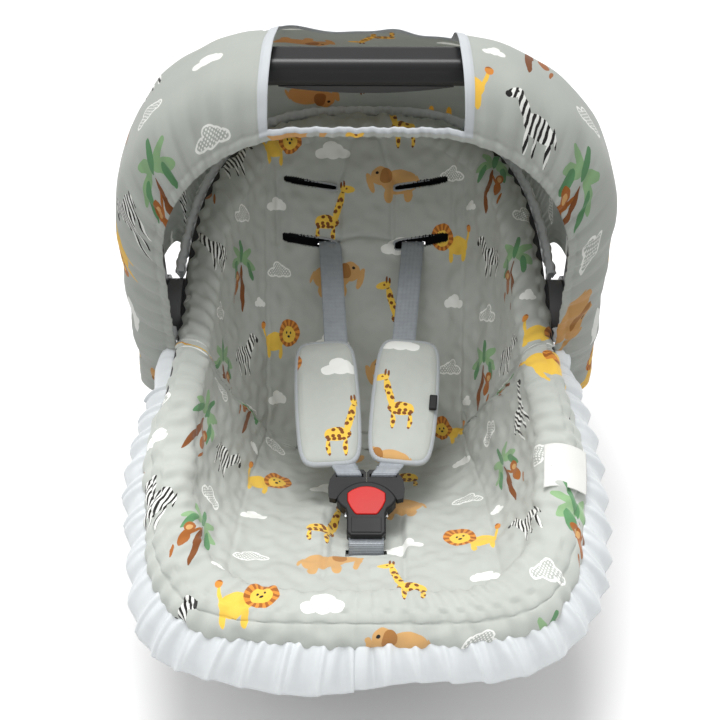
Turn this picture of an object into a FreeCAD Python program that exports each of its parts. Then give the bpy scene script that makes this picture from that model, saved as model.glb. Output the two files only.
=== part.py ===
import FreeCAD, Part
import math
import os

# Infant car seat carrier (rear-facing shell with carry handle, padded liner, ruffle, fabric hood and 3-point harness).
# Millimetres. +Z up, +Y toward the head end, +X to the viewer's right when looking from the foot end.
# All shapes are laid out about the handle's hub axis (y = 0) and moved by Y_SHIFT when they are written.
V = FreeCAD.Vector
os.makedirs("parts", exist_ok=True)

# ---------------------------------------------------------------- driving dimensions
Y_SHIFT = 48.0          # hub axis to the middle of the whole carrier's length
HUB_Z = 290.0           # height of the handle's turning axis
PAN_DEG = 22.5          # seat pan rises toward the foot end
BACK_DEG = 45.0         # backrest recline from horizontal
VERTEX = (-33.3, 86.4)  # where the outer pan and back lines meet
FOOT_Y = -344.0         # shell's foot end
HEAD_Y = 240.0          # shell's head end
WALL = 4.0              # shell wall
FOAM_IN, FOAM_OUT = 4.3, 13.8
LINER_IN, LINER_OUT = 14.2, 28.0
FLANGE = 6.0            # rolled rim of the shell
FLARE = 0.115           # the tub is wider ahead of the hubs
ARM_IN, ARM_OUT = 205.3, 232.0
BAR_R = 293.0           # hub axis to the middle of the grip bar
ARCH_CORNER = 140.0     # the arch's corners, on its middle line
HOOD_T = 3.0
STRAP_W, STRAP_T = 25.0, 1.6
STRAP_SLOPE = 12.4      # degrees, harness line from the slots to the buckle
SLOT_Y, SLOT_Z = 123.0, 283.0   # lower shoulder slot on the liner's surface
UP_Y, UP_Z = 169.0, 329.0       # upper shoulder slot
SLOT_X = 64.0
PAD_T = 13.0
TONGUE_TRAVEL = 24.0


# ---------------------------------------------------------------- plane curves
def rounded(points, radii, step=2.0):
    """Polyline with its corners rounded, as dense points."""
    out = [points[0]]
    for i in range(1, len(points) - 1):
        p, a, b, r = points[i], points[i - 1], points[i + 1], radii[i - 1]
        ua = (a[0] - p[0], a[1] - p[1])
        ub = (b[0] - p[0], b[1] - p[1])
        la, lb = math.hypot(*ua), math.hypot(*ub)
        ua = (ua[0] / la, ua[1] / la)
        ub = (ub[0] / lb, ub[1] / lb)
        ang = math.acos(max(-1, min(1, ua[0] * ub[0] + ua[1] * ub[1])))
        t = r / math.tan(ang / 2)
        s = (p[0] + ua[0] * t, p[1] + ua[1] * t)
        e = (p[0] + ub[0] * t, p[1] + ub[1] * t)
        bis = (ua[0] + ub[0], ua[1] + ub[1])
        lbis = math.hypot(*bis)
        c = (p[0] + bis[0] / lbis * r / math.sin(ang / 2), p[1] + bis[1] / lbis * r / math.sin(ang / 2))
        a0 = math.atan2(s[1] - c[1], s[0] - c[0])
        a1 = math.atan2(e[1] - c[1], e[0] - c[0])
        while a1 - a0 > math.pi:
            a1 -= 2 * math.pi
        while a1 - a0 < -math.pi:
            a1 += 2 * math.pi
        n = max(4, int(abs(a1 - a0) * r / step))
        for k in range(n + 1):
            q = a0 + (a1 - a0) * k / n
            out.append((c[0] + r * math.cos(q), c[1] + r * math.sin(q)))
    out.append(points[-1])
    dense = []
    for a, b in zip(out, out[1:]):
        n = max(1, int(math.hypot(b[0] - a[0], b[1] - a[1]) / step))
        dense += [(a[0] + (b[0] - a[0]) * k / n, a[1] + (b[1] - a[1]) * k / n) for k in range(n)]
    return dense + [out[-1]]


def moved_in(points, t):
    """The curve moved t to its left."""
    out = []
    for i, p in enumerate(points):
        a, b = points[max(0, i - 1)], points[min(len(points) - 1, i + 1)]
        d = (b[0] - a[0], b[1] - a[1])
        n = math.hypot(*d) or 1
        out.append((p[0] - d[1] / n * t, p[1] + d[0] / n * t))
    return out


def at(curve, z):
    """First coordinate of a curve at height z."""
    for a, b in zip(curve, curve[1:]):
        lo, hi = sorted((a[1], b[1]))
        if lo <= z <= hi and hi - lo > 1e-9:
            return a[0] + (b[0] - a[0]) * (z - a[1]) / (b[1] - a[1])
    return curve[0][0] if abs(curve[0][1] - z) < abs(curve[-1][1] - z) else curve[-1][0]


PROFILE = rounded(
    [(FOOT_Y, 470.0), (FOOT_Y, 215.0), VERTEX, (HEAD_Y, VERTEX[1] + HEAD_Y - VERTEX[0]), (HEAD_Y, 470.0)],
    [30.0, 62.0, 45.0],
)
WIDTH = rounded([(0.0, 96.8), (112.0, 96.8), (181.0, 250.0), (189.0, 470.0)], [72.0, 300.0])
LEVELS = [1.2, 3.5, 8, 15, 25, 38, 53, 73, 93, 107, 118, 130, 148, 173, 203, 243, 283, 323]


def outline(y1, y2, w, z, nf=4.4, nh=2.9, n=56, flare=FLARE):
    pts = []
    yc, hl = (y1 + y2) / 2, (y2 - y1) / 2
    for k in range(n):
        a = 2 * math.pi * k / n
        c, s = math.cos(a), math.sin(a)
        e = nf if s < 0 else nh
        x = w * math.copysign(abs(c) ** (2 / e), c)
        y = yc + hl * math.copysign(abs(s) ** (2 / e), s)
        u = max(0.0, min(1.0, (-30 - y) / 150))
        pts.append(V(x * (1 + flare * u * u * (3 - 2 * u)), y, z))
    b = Part.BSplineCurve()
    b.interpolate(pts, True)
    return Part.Wire([b.toShape()])


CACHE = {}


def tub(t):
    """Solid inside the shell's outer face moved inward by t."""
    if t in CACHE:
        return CACHE[t].copy()
    prof, wid = moved_in(PROFILE, t), moved_in(WIDTH, t)
    low = min(range(len(prof)), key=lambda i: prof[i][1])
    foot, head, z0 = prof[: low + 1], prof[low:], prof[low][1]
    wires = []
    for h in LEVELS:
        z = z0 + h
        k = min(1.0, h / 60.0)
        wires.append(outline(at(foot, z), at(head, z), at(wid[3:], z), z, nf=2.4 + 2.2 * k, nh=2.2 + 0.8 * k))
    CACHE[t] = Part.makeLoft(wires, True, True)
    return CACHE[t].copy()


RIM = [(-420, 232), (-344, 233), (-300, 236), (-230, 246), (-150, 266), (-80, 291), (0, 316), (70, 337), (140, 353), (200, 364), (245, 370), (330, 378)]


def below_rim(dz, foot_dz=None):
    """Everything under the rim line moved by dz."""
    f = dz if foot_dz is None else foot_dz
    pts = []
    for y, z in RIM:
        k = max(0.0, min(1.0, (-60 - y) / 200))
        pts.append(V(-330, y, z + dz + (f - dz) * k))
    b = Part.BSplineCurve()
    b.interpolate(pts)
    e = [b.toShape()]
    p0, p1 = pts[0], pts[-1]
    q0, q1 = V(-330, p0.y, -60), V(-330, p1.y, -60)
    e += [Part.makeLine(p1, q1), Part.makeLine(q1, q0), Part.makeLine(q0, p0)]
    return Part.Face(Part.Wire(Part.__sortEdges__(e))).extrude(V(660, 0, 0))


def box(x0, x1, y0, y1, z0, z1):
    return Part.makeBox(x1 - x0, y1 - y0, z1 - z0, V(x0, y0, z0))


def xcyl(r, x0, x1, y=0.0, z=HUB_Z):
    return Part.makeCylinder(r, abs(x1 - x0), V(min(x0, x1), y, z), V(1, 0, 0))


def rod(r, p, q):
    return Part.makeCylinder(r, (q - p).Length, p, q - p)


def frame(origin, x, y, z):
    """Placement whose local axes are x, y, z."""
    m = FreeCAD.Matrix(x.x, y.x, z.x, origin.x, x.y, y.y, z.y, origin.y, x.z, y.z, z.z, origin.z, 0, 0, 0, 1)
    return FreeCAD.Placement(m)


def placed(shape, pl):
    s = shape.copy()
    s.Placement = pl.multiply(s.Placement)
    return s


def prism(pts, z0, z1):
    vs = [V(x, y, z0) for x, y in pts]
    return Part.Face(Part.makePolygon(vs + [vs[0]])).extrude(V(0, 0, z1 - z0))


def soft_edges(shape, r, pick=None):
    es = [e for e in shape.Edges if pick is None or pick(e)]
    try:
        s = shape.makeFillet(r, es)
        if s.isValid() and s.Volume > 0:
            return s
    except Exception:
        pass
    return shape


def rounded_box(w, l, t, rc, re):
    b = Part.makeBox(w, l, t, V(-w / 2, -l / 2, -t / 2))
    b = soft_edges(b, rc, lambda e: abs(e.Vertexes[0].Z - e.Vertexes[1].Z) > t * 0.9)
    return soft_edges(b, re, lambda e: abs(e.BoundBox.ZMax - e.BoundBox.ZMin) < 1e-6)


NODES = {}


def out(name, *shapes):
    s = shapes[0] if len(shapes) == 1 else Part.makeCompound(list(shapes))
    s = s.copy()
    s.translate(V(0, Y_SHIFT, 0))
    NODES[name] = s
    s.exportStep("parts/%s.step" % name)


def one(shape):
    """The largest solid of a boolean's result."""
    if shape.ShapeType == "Solid":
        return shape
    return max(shape.Solids, key=lambda s: s.Volume)


# ---------------------------------------------------------------- frames along the back, the pan and the harness line
c45 = math.cos(math.radians(BACK_DEG))
BACK_N = V(0, -c45, c45)      # out of the backrest, toward the child
BACK_U = V(0, c45, c45)       # up the backrest
ps, pc = math.sin(math.radians(PAN_DEG)), math.cos(math.radians(PAN_DEG))
PAN_N = V(0, ps, pc)
PAN_U = V(0, pc, -ps)         # down the pan toward the back
hs, hc = math.sin(math.radians(STRAP_SLOPE)), math.cos(math.radians(STRAP_SLOPE))
LINE_U = V(0, hc, hs)         # up the harness line, toward the slots
LINE_N = V(0, -hs, hc)
X = V(1, 0, 0)


def on_line(l, x=0.0, n=0.0):
    """Point at length l down the harness line from the slots."""
    return V(x, SLOT_Y, SLOT_Z) - LINE_U * l + LINE_N * n


# ---------------------------------------------------------------- shoulder and crotch slots through shell, foam and liner
def slot_tool(y, z, w, h):
    b = Part.makeBox(w, h, 90, V(-w / 2, -h / 2, -60))
    return placed(b, frame(V(0, y, z), X, BACK_U, BACK_N))


slots = []
for sx in (-1, 1):
    for y, z in ((SLOT_Y, SLOT_Z), (UP_Y, UP_Z)):
        t = slot_tool(y, z, 62.0, 9.0)
        t.translate(V(sx * SLOT_X, 0, 0))
        slots.append(t)
CROTCH = V(2.0, -240.5, 204.0)
crotch_slot = placed(Part.makeBox(44, 9, 120, V(-22, -4.5, -60)), frame(CROTCH, X, PAN_U, PAN_N))

# ---------------------------------------------------------------- shell
shell = tub(0).cut(tub(WALL)).common(below_rim(0))
flange = tub(-FLANGE).cut(tub(0.5)).common(below_rim(0)).cut(below_rim(-9, -9))
shell = one(shell.fuse(flange))
boss = []
for s in (-1, 1):
    b = xcyl(33, s * 178, s * 190)
    boss.append(b)
solid_tub = tub(0)
for b in boss:
    shell = one(shell.fuse(b.cut(solid_tub).common(below_rim(0))))
tools = slots + [crotch_slot]
shell = one(shell.cut(Part.makeCompound(tools)))

# ---------------------------------------------------------------- rocker base, its pads and screws
ROWS = [(3.0, -196, 100, 120), (40, -218, 112, 133), (90, -244, 106, 143), (130, -260, 84, 150), (175, -274, 45, 157), (205, -282, 25, 160)]


def ring(t):
    return Part.makeLoft([outline(a + t, b - t, w - t, z - (1 if i == 0 and t else 0), 3.6, 3.0, flare=0.0) for i, (z, a, b, w) in enumerate(ROWS)], True, True)


base = ring(0).cut(ring(4.0))
ribs = box(-139, 139, -112, -108, 34, 150).fuse(box(-139, 139, 28, 32, 34, 150)).common(ring(2.0))
base = base.fuse(ribs)
posts, screws = [], []
for x in (-70, 70):
    for y, top in ((-110, 122), (30, 154)):
        posts.append(Part.makeCylinder(8, 90, V(x, y, 64)))
        z1 = top
        screws.append(Part.makeCylinder(4.4, 3, V(x, y, 61)).fuse(Part.makeCylinder(2.0, z1 - 64, V(x, y, 64))))
for p in posts:
    base = base.fuse(p)
base = base.cut(tub(-0.05))
rock = [(-290, -20), (170, -20), (170, 60), (128, 34), (100, 17), (72, 6.5), (45, 3.0), (-125, 3.0), (-158, 6.5), (-190, 17), (-222, 34), (-262, 60), (-290, 60)]
cutter = Part.Face(Part.makePolygon([V(-200, y, z) for y, z in rock] + [V(-200, rock[0][0], rock[0][1])])).extrude(V(400, 0, 0))
lid = Part.Face(Part.makePolygon([V(-200, y, z) for y, z in ((-300, 150), (-250, 190), (60, 190), (200, 190), (200, 300), (-300, 300), (-300, 150))])).extrude(V(400, 0, 0))
base = base.cut(cutter).cut(lid)
for s in screws:
    base = base.cut(s)
    shell = shell.cut(s)
shell = one(shell)
base = one(base)
pads = []
for x in (-108, 108):
    for y in (-118, 36):
        p = box(x - 14, x + 14, y - 16, y + 16, 0.0, 3.0)
        pads.append(p)
# pads stand under the base's skirt on webs joined to it
for p in pads:
    b = p.BoundBox
    base = base.fuse(box(b.XMin, b.XMax, b.YMin, b.YMax, 3.0, 12.0))
base = one(base)
out("shell", shell)
out("rocker_base", base)
out("foot_pads", *pads)
out("base_screws", *screws)

# ---------------------------------------------------------------- foam and liner
cuts = Part.makeCompound(tools)
foam = one(tub(FOAM_IN).cut(tub(FOAM_OUT)).common(below_rim(-5)).cut(cuts))
out("foam_insert", foam)
body = tub(LINER_IN).cut(tub(LINER_OUT)).common(below_rim(0.6))
roll = tub(-4.5).cut(tub(LINER_OUT)).common(below_rim(14)).cut(below_rim(0.5))
liner = one(body.fuse(roll))
pocket = placed(Part.makeBox(66, 52, 30, V(-33, -22, -9.5)), frame(on_line(357, 2.0), X, LINE_U, LINE_N))
liner = one(liner.cut(cuts).cut(pocket))
out("seat_liner", liner)

# ---------------------------------------------------------------- ruffle round the liner's edge, and its sewn label
def skirt(t):
    """Upright solid under the rim's outline moved outward by t."""
    w = Part.Face(outline(FOOT_Y - t, 112 + t, 181 + t, 120, nf=4.6, nh=3.0))
    return w.extrude(V(0, 0, 300))


front = skirt(26).cut(skirt(8)).common(below_rim(12)).cut(below_rim(-58, -82))
front = front.common(box(-300, 300, -420, -68, 0, 500))
back = tub(-10.5).cut(tub(-7)).common(below_rim(18)).cut(below_rim(-22))
back = back.common(box(-300, 300, -72, 300, 0, 500))
for s in (-1, 1):
    back = back.cut(xcyl(42, s * 150, s * 240))
ruffle = front.fuse(back)
ruffle = one(ruffle)
out("ruffle", ruffle)
lab = box(-21, 21, -23, 23, -0.4, 0.4)
lab.Placement = FreeCAD.Placement(V(196, -198, 272.5), FreeCAD.Rotation(V(1, 0, 0), 14))
out("side_label", lab)

# ---------------------------------------------------------------- handle hubs: fixed sockets, handle, caps, buttons, springs
for s, side in ((-1, "left"), (1, "right")):
    sock = xcyl(33, s * 190.1, s * 204.8).fuse(xcyl(29.0, s * 204.8, s * 212.0))
    sock = sock.cut(xcyl(24.0, s * 194.0, s * 213.0))
    scr = []
    for k in range(3):
        a = math.radians(270 + 120 * k)
        y, z = 28.3 * math.cos(a), HUB_Z + 28.3 * math.sin(a)
        b = xcyl(1.6, s * 182, s * 202, y, z).fuse(xcyl(3.2, s * 202, s * 204.6, y, z))
        scr.append(b)
        sock = sock.cut(b)
    NODES.setdefault("_scr", []).extend(scr)
    out("hub_socket_%s" % side, one(sock))
scr = NODES.pop("_scr")
for b in scr:
    shell = shell.cut(b)
shell = one(shell)
# the shell is written again with the holes for the hub screws
out("shell", shell)
out("hub_screws", *scr)

# handle: one U-shaped moulding, arms and grip bar
xa = (ARM_IN + ARM_OUT) / 2
tx = (ARM_OUT - ARM_IN) / 2
zc = HUB_Z + BAR_R - ARCH_CORNER
xc = xa - ARCH_CORNER
k = ARCH_CORNER * math.sqrt(0.5)
path = Part.Wire([
    Part.makeLine(V(-xa, 0, HUB_Z), V(-xa, 0, zc)),
    Part.Arc(V(-xa, 0, zc), V(-xc - k, 0, zc + k), V(-xc, 0, HUB_Z + BAR_R)).toShape(),
    Part.makeLine(V(-xc, 0, HUB_Z + BAR_R), V(xc, 0, HUB_Z + BAR_R)),
    Part.Arc(V(xc, 0, HUB_Z + BAR_R), V(xc + k, 0, zc + k), V(xa, 0, zc)).toShape(),
    Part.makeLine(V(xa, 0, zc), V(xa, 0, HUB_Z)),
])
sec = []
hy, r = 17.0, 9.0
cs = [(tx - r, hy - r, 0), (-(tx - r), hy - r, 90), (-(tx - r), -(hy - r), 180), (tx - r, -(hy - r), 270)]
arcs = []
for cx, cy, a0 in cs:
    p = [V(-xa + cx + r * math.cos(math.radians(a0 + q)), cy + r * math.sin(math.radians(a0 + q)), HUB_Z) for q in (0, 45, 90)]
    arcs.append(p)
edges = []
for i in range(4):
    edges.append(Part.Arc(*arcs[i]).toShape())
    edges.append(Part.makeLine(arcs[i][2], arcs[(i + 1) % 4][0]))
handle = path.makePipeShell([Part.Wire(edges)], True, False)
for s in (-1, 1):
    handle = handle.fuse(xcyl(37, s * ARM_IN, s * ARM_OUT))
for s in (-1, 1):
    groove = xcyl(29.08, s * (ARM_IN - 1), s * 212.6).cut(xcyl(23.6, s * (ARM_IN - 2), s * 213))
    handle = handle.cut(groove)
    handle = handle.cut(xcyl(20.6, s * (ARM_IN - 1), s * 216.0))
    handle = handle.cut(xcyl(5.3, s * 210, s * 222))
    handle = handle.cut(xcyl(16.0, s * 221.0, s * 233))
out("handle_arch", one(handle))
# soft grip strip along the underside of the bar
g = Part.makeCylinder(470, 26, V(0, -13, HUB_Z + BAR_R - tx - 6.2 + 470), V(0, 1, 0)).common(box(-78, 78, -13, 13, HUB_Z + BAR_R - tx - 8, HUB_Z + BAR_R - tx + 1.0))
g = one(g.cut(handle))
out("handle_grip", g)
for s, side in ((-1, "left"), (1, "right")):
    cap = xcyl(35, s * ARM_OUT, s * 235).cut(xcyl(15.6, s * 230, s * 236))
    out("hub_cap_%s" % side, cap)
    btn = xcyl(15.0, s * 226.2, s * 234.6).fuse(xcyl(5.0, s * 209.4, s * 226.4)).fuse(xcyl(20.2, s * 200.4, s * 209.6))
    out("handle_button_%s" % side, one(btn))
    sp = xcyl(9.0, s * 194.1, s * 200.3).cut(xcyl(7.2, s * 194, s * 201))
    out("handle_spring_%s" % side, sp)

# ---------------------------------------------------------------- buckle on the crotch strap
BC = on_line(338.0, 2.0)
BF = frame(BC, X, LINE_U, LINE_N)
R_ARC, C_ARC = 33.2, -3.2


def arc_pts(r, cy, half, n=24):
    a = math.asin(min(1, half / r))
    return [(r * math.sin(-a + 2 * a * k / n), cy + r * math.cos(-a + 2 * a * k / n)) for k in range(n + 1)]


top = arc_pts(R_ARC, C_ARC, 29.0)
side = [(29.0, 9.0), (25.5, 4.0), (20.5, 0.0), (19.0, -5.0), (19.0, -25.0), (15.0, -29.0)]
outline2 = top + side + [(-x, y) for x, y in reversed(side)]
housing = prism(outline2, -9.0, 9.0)
housing = soft_edges(housing, 2.0, lambda e: e.BoundBox.ZMin > 8.9 or e.BoundBox.ZMax < -8.9)
btop = arc_pts(26.5, -2.6, 18.6)
bside = [(18.6, 8.0), (15.5, 1.0), (11.5, -5.0), (9.5, -6.5)]
bpts = btop + bside + [(-x, y) for x, y in reversed(bside)]
button = prism(bpts, 3.4, 10.2)
button = soft_edges(button, 1.1, lambda e: e.BoundBox.ZMin > 10.1)


def grown(pts, d):
    n = len(pts)
    res = []
    for i, p in enumerate(pts):
        a, b = pts[i - 1], pts[(i + 1) % n]
        dx, dy = b[0] - a[0], b[1] - a[1]
        l = math.hypot(dx, dy) or 1
        res.append((p[0] - dy / l * d, p[1] + dx / l * d))
    return res


housing = housing.cut(prism(grown(bpts, 0.35), 0.2, 12))
housing = housing.cut(Part.makeCylinder(4.2, 12, V(0, -1.0, -7.0)))
panel = box(-14.5, 14.5, -25.5, -9.5, 8.9, 9.8)
housing = housing.fuse(soft_edges(panel, 0.5, lambda e: e.BoundBox.ZMin > 9.7))
for s in (-1, 1):
    housing = housing.cut(box(min(s * 5.5, s * 21.5), max(s * 5.5, s * 21.5), -6.0, 40.0, -3.4, -0.6))
strap_gap = box(-19.3, 19.3, -32, -22, -1.2, 1.2)
housing = one(housing.cut(box(-18.2, 18.2, -32, -21.8, -1.3, 1.3)))
out("buckle_housing", placed(housing, BF))
out("buckle_button", placed(one(button), BF))
spring = Part.makeCylinder(3.4, 10.2, V(0, -1.0, -6.9)).cut(Part.makeCylinder(2.4, 12, V(0, -1.0, -7.5)))
out("buckle_spring", placed(spring, BF))

# tongues: plastic grip moulded on a steel blade, one for each shoulder strap
for s, side in ((-1, "left"), (1, "right")):
    tp = [(0.4, 26), (0.4, 42), (3, 45), (24, 45), (31, 42.5), (36.5, 34), (38, 24), (36.5, 13.5), (30.5, 12.0)]
    t = prism([(s * x, y) for x, y in tp] if s > 0 else [(s * x, y) for x, y in reversed(tp)], -4.6, 4.6)
    t = t.cut(Part.makeCylinder(R_ARC + 0.5, 30, V(0, C_ARC, -15)))
    t = soft_edges(one(t), 1.2, lambda e: e.BoundBox.ZMin > 4.5 or e.BoundBox.ZMax < -4.5)
    web = box(min(s * 3.0, s * 30.5), max(s * 3.0, s * 30.5), 36.5, 40.5, -8, 8)
    t = one(t.cut(web))
    blade = box(min(s * 6.0, s * 21.0), max(s * 6.0, s * 21.0), -4.0, 34.0, -3.0, -1.0).cut(Part.makeCylinder(3, 10, V(s * 13.5, 3.0, -6)))
    t = one(t.cut(blade))
    out("tongue_%s" % side, placed(t, BF))
    out("tongue_blade_%s" % side, placed(blade, BF))


# ---------------------------------------------------------------- harness webbing
def band(points, width, thick, xs=None):
    """Flat webbing along (y, z) points; x may drift along it."""
    dense = points
    left = []
    n = len(dense)
    off = []
    for i in range(n):
        a, b = dense[max(0, i - 1)], dense[min(n - 1, i + 1)]
        d = (b[0] - a[0], b[1] - a[1])
        l = math.hypot(*d)
        off.append((-d[1] / l * thick / 2, d[0] / l * thick / 2))
    ring_pts = [(p[0] + o[0], p[1] + o[1]) for p, o in zip(dense, off)] + [(p[0] - o[0], p[1] - o[1]) for p, o in reversed(list(zip(dense, off)))]
    f = Part.Face(Part.makePolygon([V(0, y, z) for y, z in ring_pts] + [V(0, ring_pts[0][0], ring_pts[0][1])]))
    return f.extrude(V(width, 0, 0))


STRAPS = {"left": (-40.0, -21.0), "right": (54.0, 27.0)}
for side, (x0, x1) in STRAPS.items():
    # behind the shell, through the slot, then straight down to the tongue
    bpt = V(0, SLOT_Y, SLOT_Z) - BACK_N * 31.6
    route = []
    route.append(bpt - BACK_U * 62)
    route.append(bpt - BACK_U * 4.0)
    route.append(bpt - BACK_U * 1.2 + BACK_N * 1.4)
    route.append(V(0, SLOT_Y, SLOT_Z) - BACK_N * 6.0)
    route.append(V(0, SLOT_Y, SLOT_Z) - BACK_N * 1.0 - BACK_U * 0.4)
    yz = [(p.y, p.z) for p in route]
    back_piece = band(yz, STRAP_W, STRAP_T)
    back_piece.translate(V(x0 - STRAP_W / 2, 0, 0))
    p0, p1 = on_line(1.0, x0), on_line(292.0, x1)
    d = (p1 - p0)
    L = d.Length
    d.normalize()
    nrm = LINE_N
    run = placed(Part.makeBox(STRAP_W, L, STRAP_T, V(-STRAP_W / 2, 0, -STRAP_T / 2)), frame(p0, d.cross(nrm), d, nrm))
    st = back_piece.fuse(run)
    loop = placed(Part.makeBox(STRAP_W, 4.0, 3.6, V(-STRAP_W / 2, -4.0, -1.8)), frame(p1, d.cross(nrm), d, nrm))
    st = one(st.fuse(loop))
    out("shoulder_strap_%s" % side, st)

bott = [(q.y, q.z) for q in (on_line(361.0), on_line(368.0), CROTCH - PAN_N * 3.0, CROTCH - PAN_N * 36.0)]
cs_ = band(bott, 36.0, STRAP_T)
cs_.translate(V(2.0 - 18.0, 0, 0))
out("crotch_strap", cs_)
anchor = placed(Part.makeBox(64, 14, 3, V(-32, -7, -1.5)).cut(Part.makeBox(37, 3, 6, V(-18.5, -1.5, -3))), frame(CROTCH - PAN_N * 33.2, X, PAN_U, PAN_N))
out("crotch_anchor", one(anchor))
slides = []
for side, (x0, x1) in STRAPS.items():
    c = V(x0, SLOT_Y, SLOT_Z) - BACK_N * 31.6 - BACK_U * 40
    sl = Part.makeBox(34, 22, 5.0, V(-17, -11, -2.5)).cut(Part.makeBox(26.4, 24, 2.0, V(-13.2, -12, -1.0)))
    sl = placed(sl, frame(c, X, BACK_U, BACK_N))
    slides.append(one(sl))

# the slides lie behind the shell, clear of it
out("strap_slides", *slides)

# ---------------------------------------------------------------- shoulder pads, a sleeve round each strap
PADS = {"left": (66.0, -12.4, 212.0, 150.0), "right": (68.0, 6.8, 210.0, 150.0)}
for side, (w, dx, lm, plen) in PADS.items():
    x0, x1 = STRAPS[side]
    p0, p1 = on_line(1.0, x0), on_line(292.0, x1)
    d = p1 - p0
    d.normalize()
    mid = p0 + d * (lm - 1.0)
    pl = frame(mid, d.cross(LINE_N), d, LINE_N)
    ex = d.cross(LINE_N)
    sgn = 1 if ex.x > 0 else -1
    pad = rounded_box(w, plen, PAD_T, 12.0, 4.0)
    pad.translate(V(sgn * dx, 0, 0))
    pad = pad.cut(Part.makeBox(STRAP_W + 1.6, plen + 10, STRAP_T + 1.2, V(-STRAP_W / 2 - 0.8, -plen / 2 - 5, -STRAP_T / 2 - 0.6)))
    out("shoulder_pad_%s" % side, placed(one(pad), pl))
    if side == "right":
        hk = soft_edges(Part.makeBox(8, 17, 5, V(-4, -8.5, -2.5)), 1.5)
        hk.translate(V(sgn * (dx + w / 2 - 4.6), 5.0, PAD_T / 2 + 2.5))
        out("pad_hook", placed(hk, pl))

# ---------------------------------------------------------------- hood: a thin canopy from the front hem over the handle to the back hem
#        top (y, z)   side hem (y, z)  half width  corner radius
HOOD = [
    ((-60, 548), (-62, 226), 204.0, 142.0),
    ((-55, 572), (-54, 222), 225.0, 152.0),
    ((-36, 597), (-38, 221), 239.0, 160.0),
    ((0, 609), (-10, 226), 240.0, 170.0),
    ((30, 606), (15, 236), 240.0, 166.0),
    ((58, 597), (35, 248), 239.0, 160.0),
    ((100, 562), (48, 255), 237.0, 154.0),
    ((150, 516), (66, 266), 234.0, 148.0),
    ((200, 470), (88, 279), 229.0, 140.0),
    ((240, 428), (107, 289), 222.0, 130.0),
    ((264, 392), (121, 298), 214.0, 118.0),
    ((256, 352), (125, 296), 206.0, 100.0),
]
NU = 45


def arch(T, O, A, rc, inset=0.0, n=NU):
    h = math.hypot(T[0] - O[0], T[1] - O[1])
    uy, uz = (T[0] - O[0]) / h, (T[1] - O[1]) / h
    A, h2 = A - inset, h - inset
    r = min(rc - inset * 0.6, h2 * 0.85)
    s1, s2, s3 = h2 - r, math.pi / 2 * r, A - r
    total = 2 * (s1 + s2 + s3)
    pts = []
    for k in range(n):
        s = total * k / (n - 1)
        m = min(s, total - s)
        if m < s1:
            x, v = A, m
        elif m < s1 + s2:
            a = (m - s1) / r
            x, v = A - r + r * math.cos(a), h2 - r + r * math.sin(a)
        else:
            x, v = A - r - (m - s1 - s2), h2
        v2 = v + 4.0 * (1 - (x / A) ** 2) * (v / h2) ** 6
        if s > total / 2:
            x = -x
        pts.append(V(-x, O[0] + uy * v2, O[1] + uz * v2))
    return pts


def smooth_rows(rows, per=2):
    """Extra stations between the rows, on a Catmull-Rom curve."""
    flat = [list(r[0]) + list(r[1]) + [r[2], r[3]] for r in rows]
    res = []
    for i in range(len(flat) - 1):
        p0, p1, p2, p3 = flat[max(0, i - 1)], flat[i], flat[i + 1], flat[min(len(flat) - 1, i + 2)]
        for k in range(per):
            t = k / per
            res.append([0.5 * (2 * b + (c - a) * t + (2 * a - 5 * b + 4 * c - d) * t * t + (3 * b - a - 3 * c + d) * t ** 3) for a, b, c, d in zip(p0, p1, p2, p3)])
    res.append(flat[-1])
    return [((r[0], r[1]), (r[2], r[3]), r[4], r[5]) for r in res]


def spline(pts):
    b = Part.BSplineCurve()
    b.interpolate(pts)
    return b.toShape()


wires = []
for row in smooth_rows(HOOD):
    o, i = arch(*row), arch(*row, inset=HOOD_T)
    wires.append(Part.Wire([spline(o), Part.makeLine(o[-1], i[-1]), spline(i[::-1]), Part.makeLine(i[0], o[0])]))
hood = Part.makeLoft(wires, True, True)
hood = one(hood.cut(box(-92, 92, -80, 52, 557, 660)))
out("hood", hood)

# ---------------------------------------------------------------- report
if __name__ == "__main__":
    lo, hi = [1e9] * 3, [-1e9] * 3
    for name, s in NODES.items():
        b = s.BoundBox
        for i, (a, c) in enumerate(((b.XMin, b.XMax), (b.YMin, b.YMax), (b.ZMin, b.ZMax))):
            lo[i], hi[i] = min(lo[i], a), max(hi[i], c)
        print("%-24s valid %s solids %d vol %9.0f  x %7.1f %7.1f  y %7.1f %7.1f  z %7.1f %7.1f" % (
            name, s.isValid(), len(s.Solids), s.Volume, b.XMin, b.XMax, b.YMin, b.YMax, b.ZMin, b.ZMax))
    print("all", [round(v, 1) for v in lo], [round(v, 1) for v in hi])
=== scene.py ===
import bpy, math
import numpy as np
from mathutils import Vector, Matrix


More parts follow.
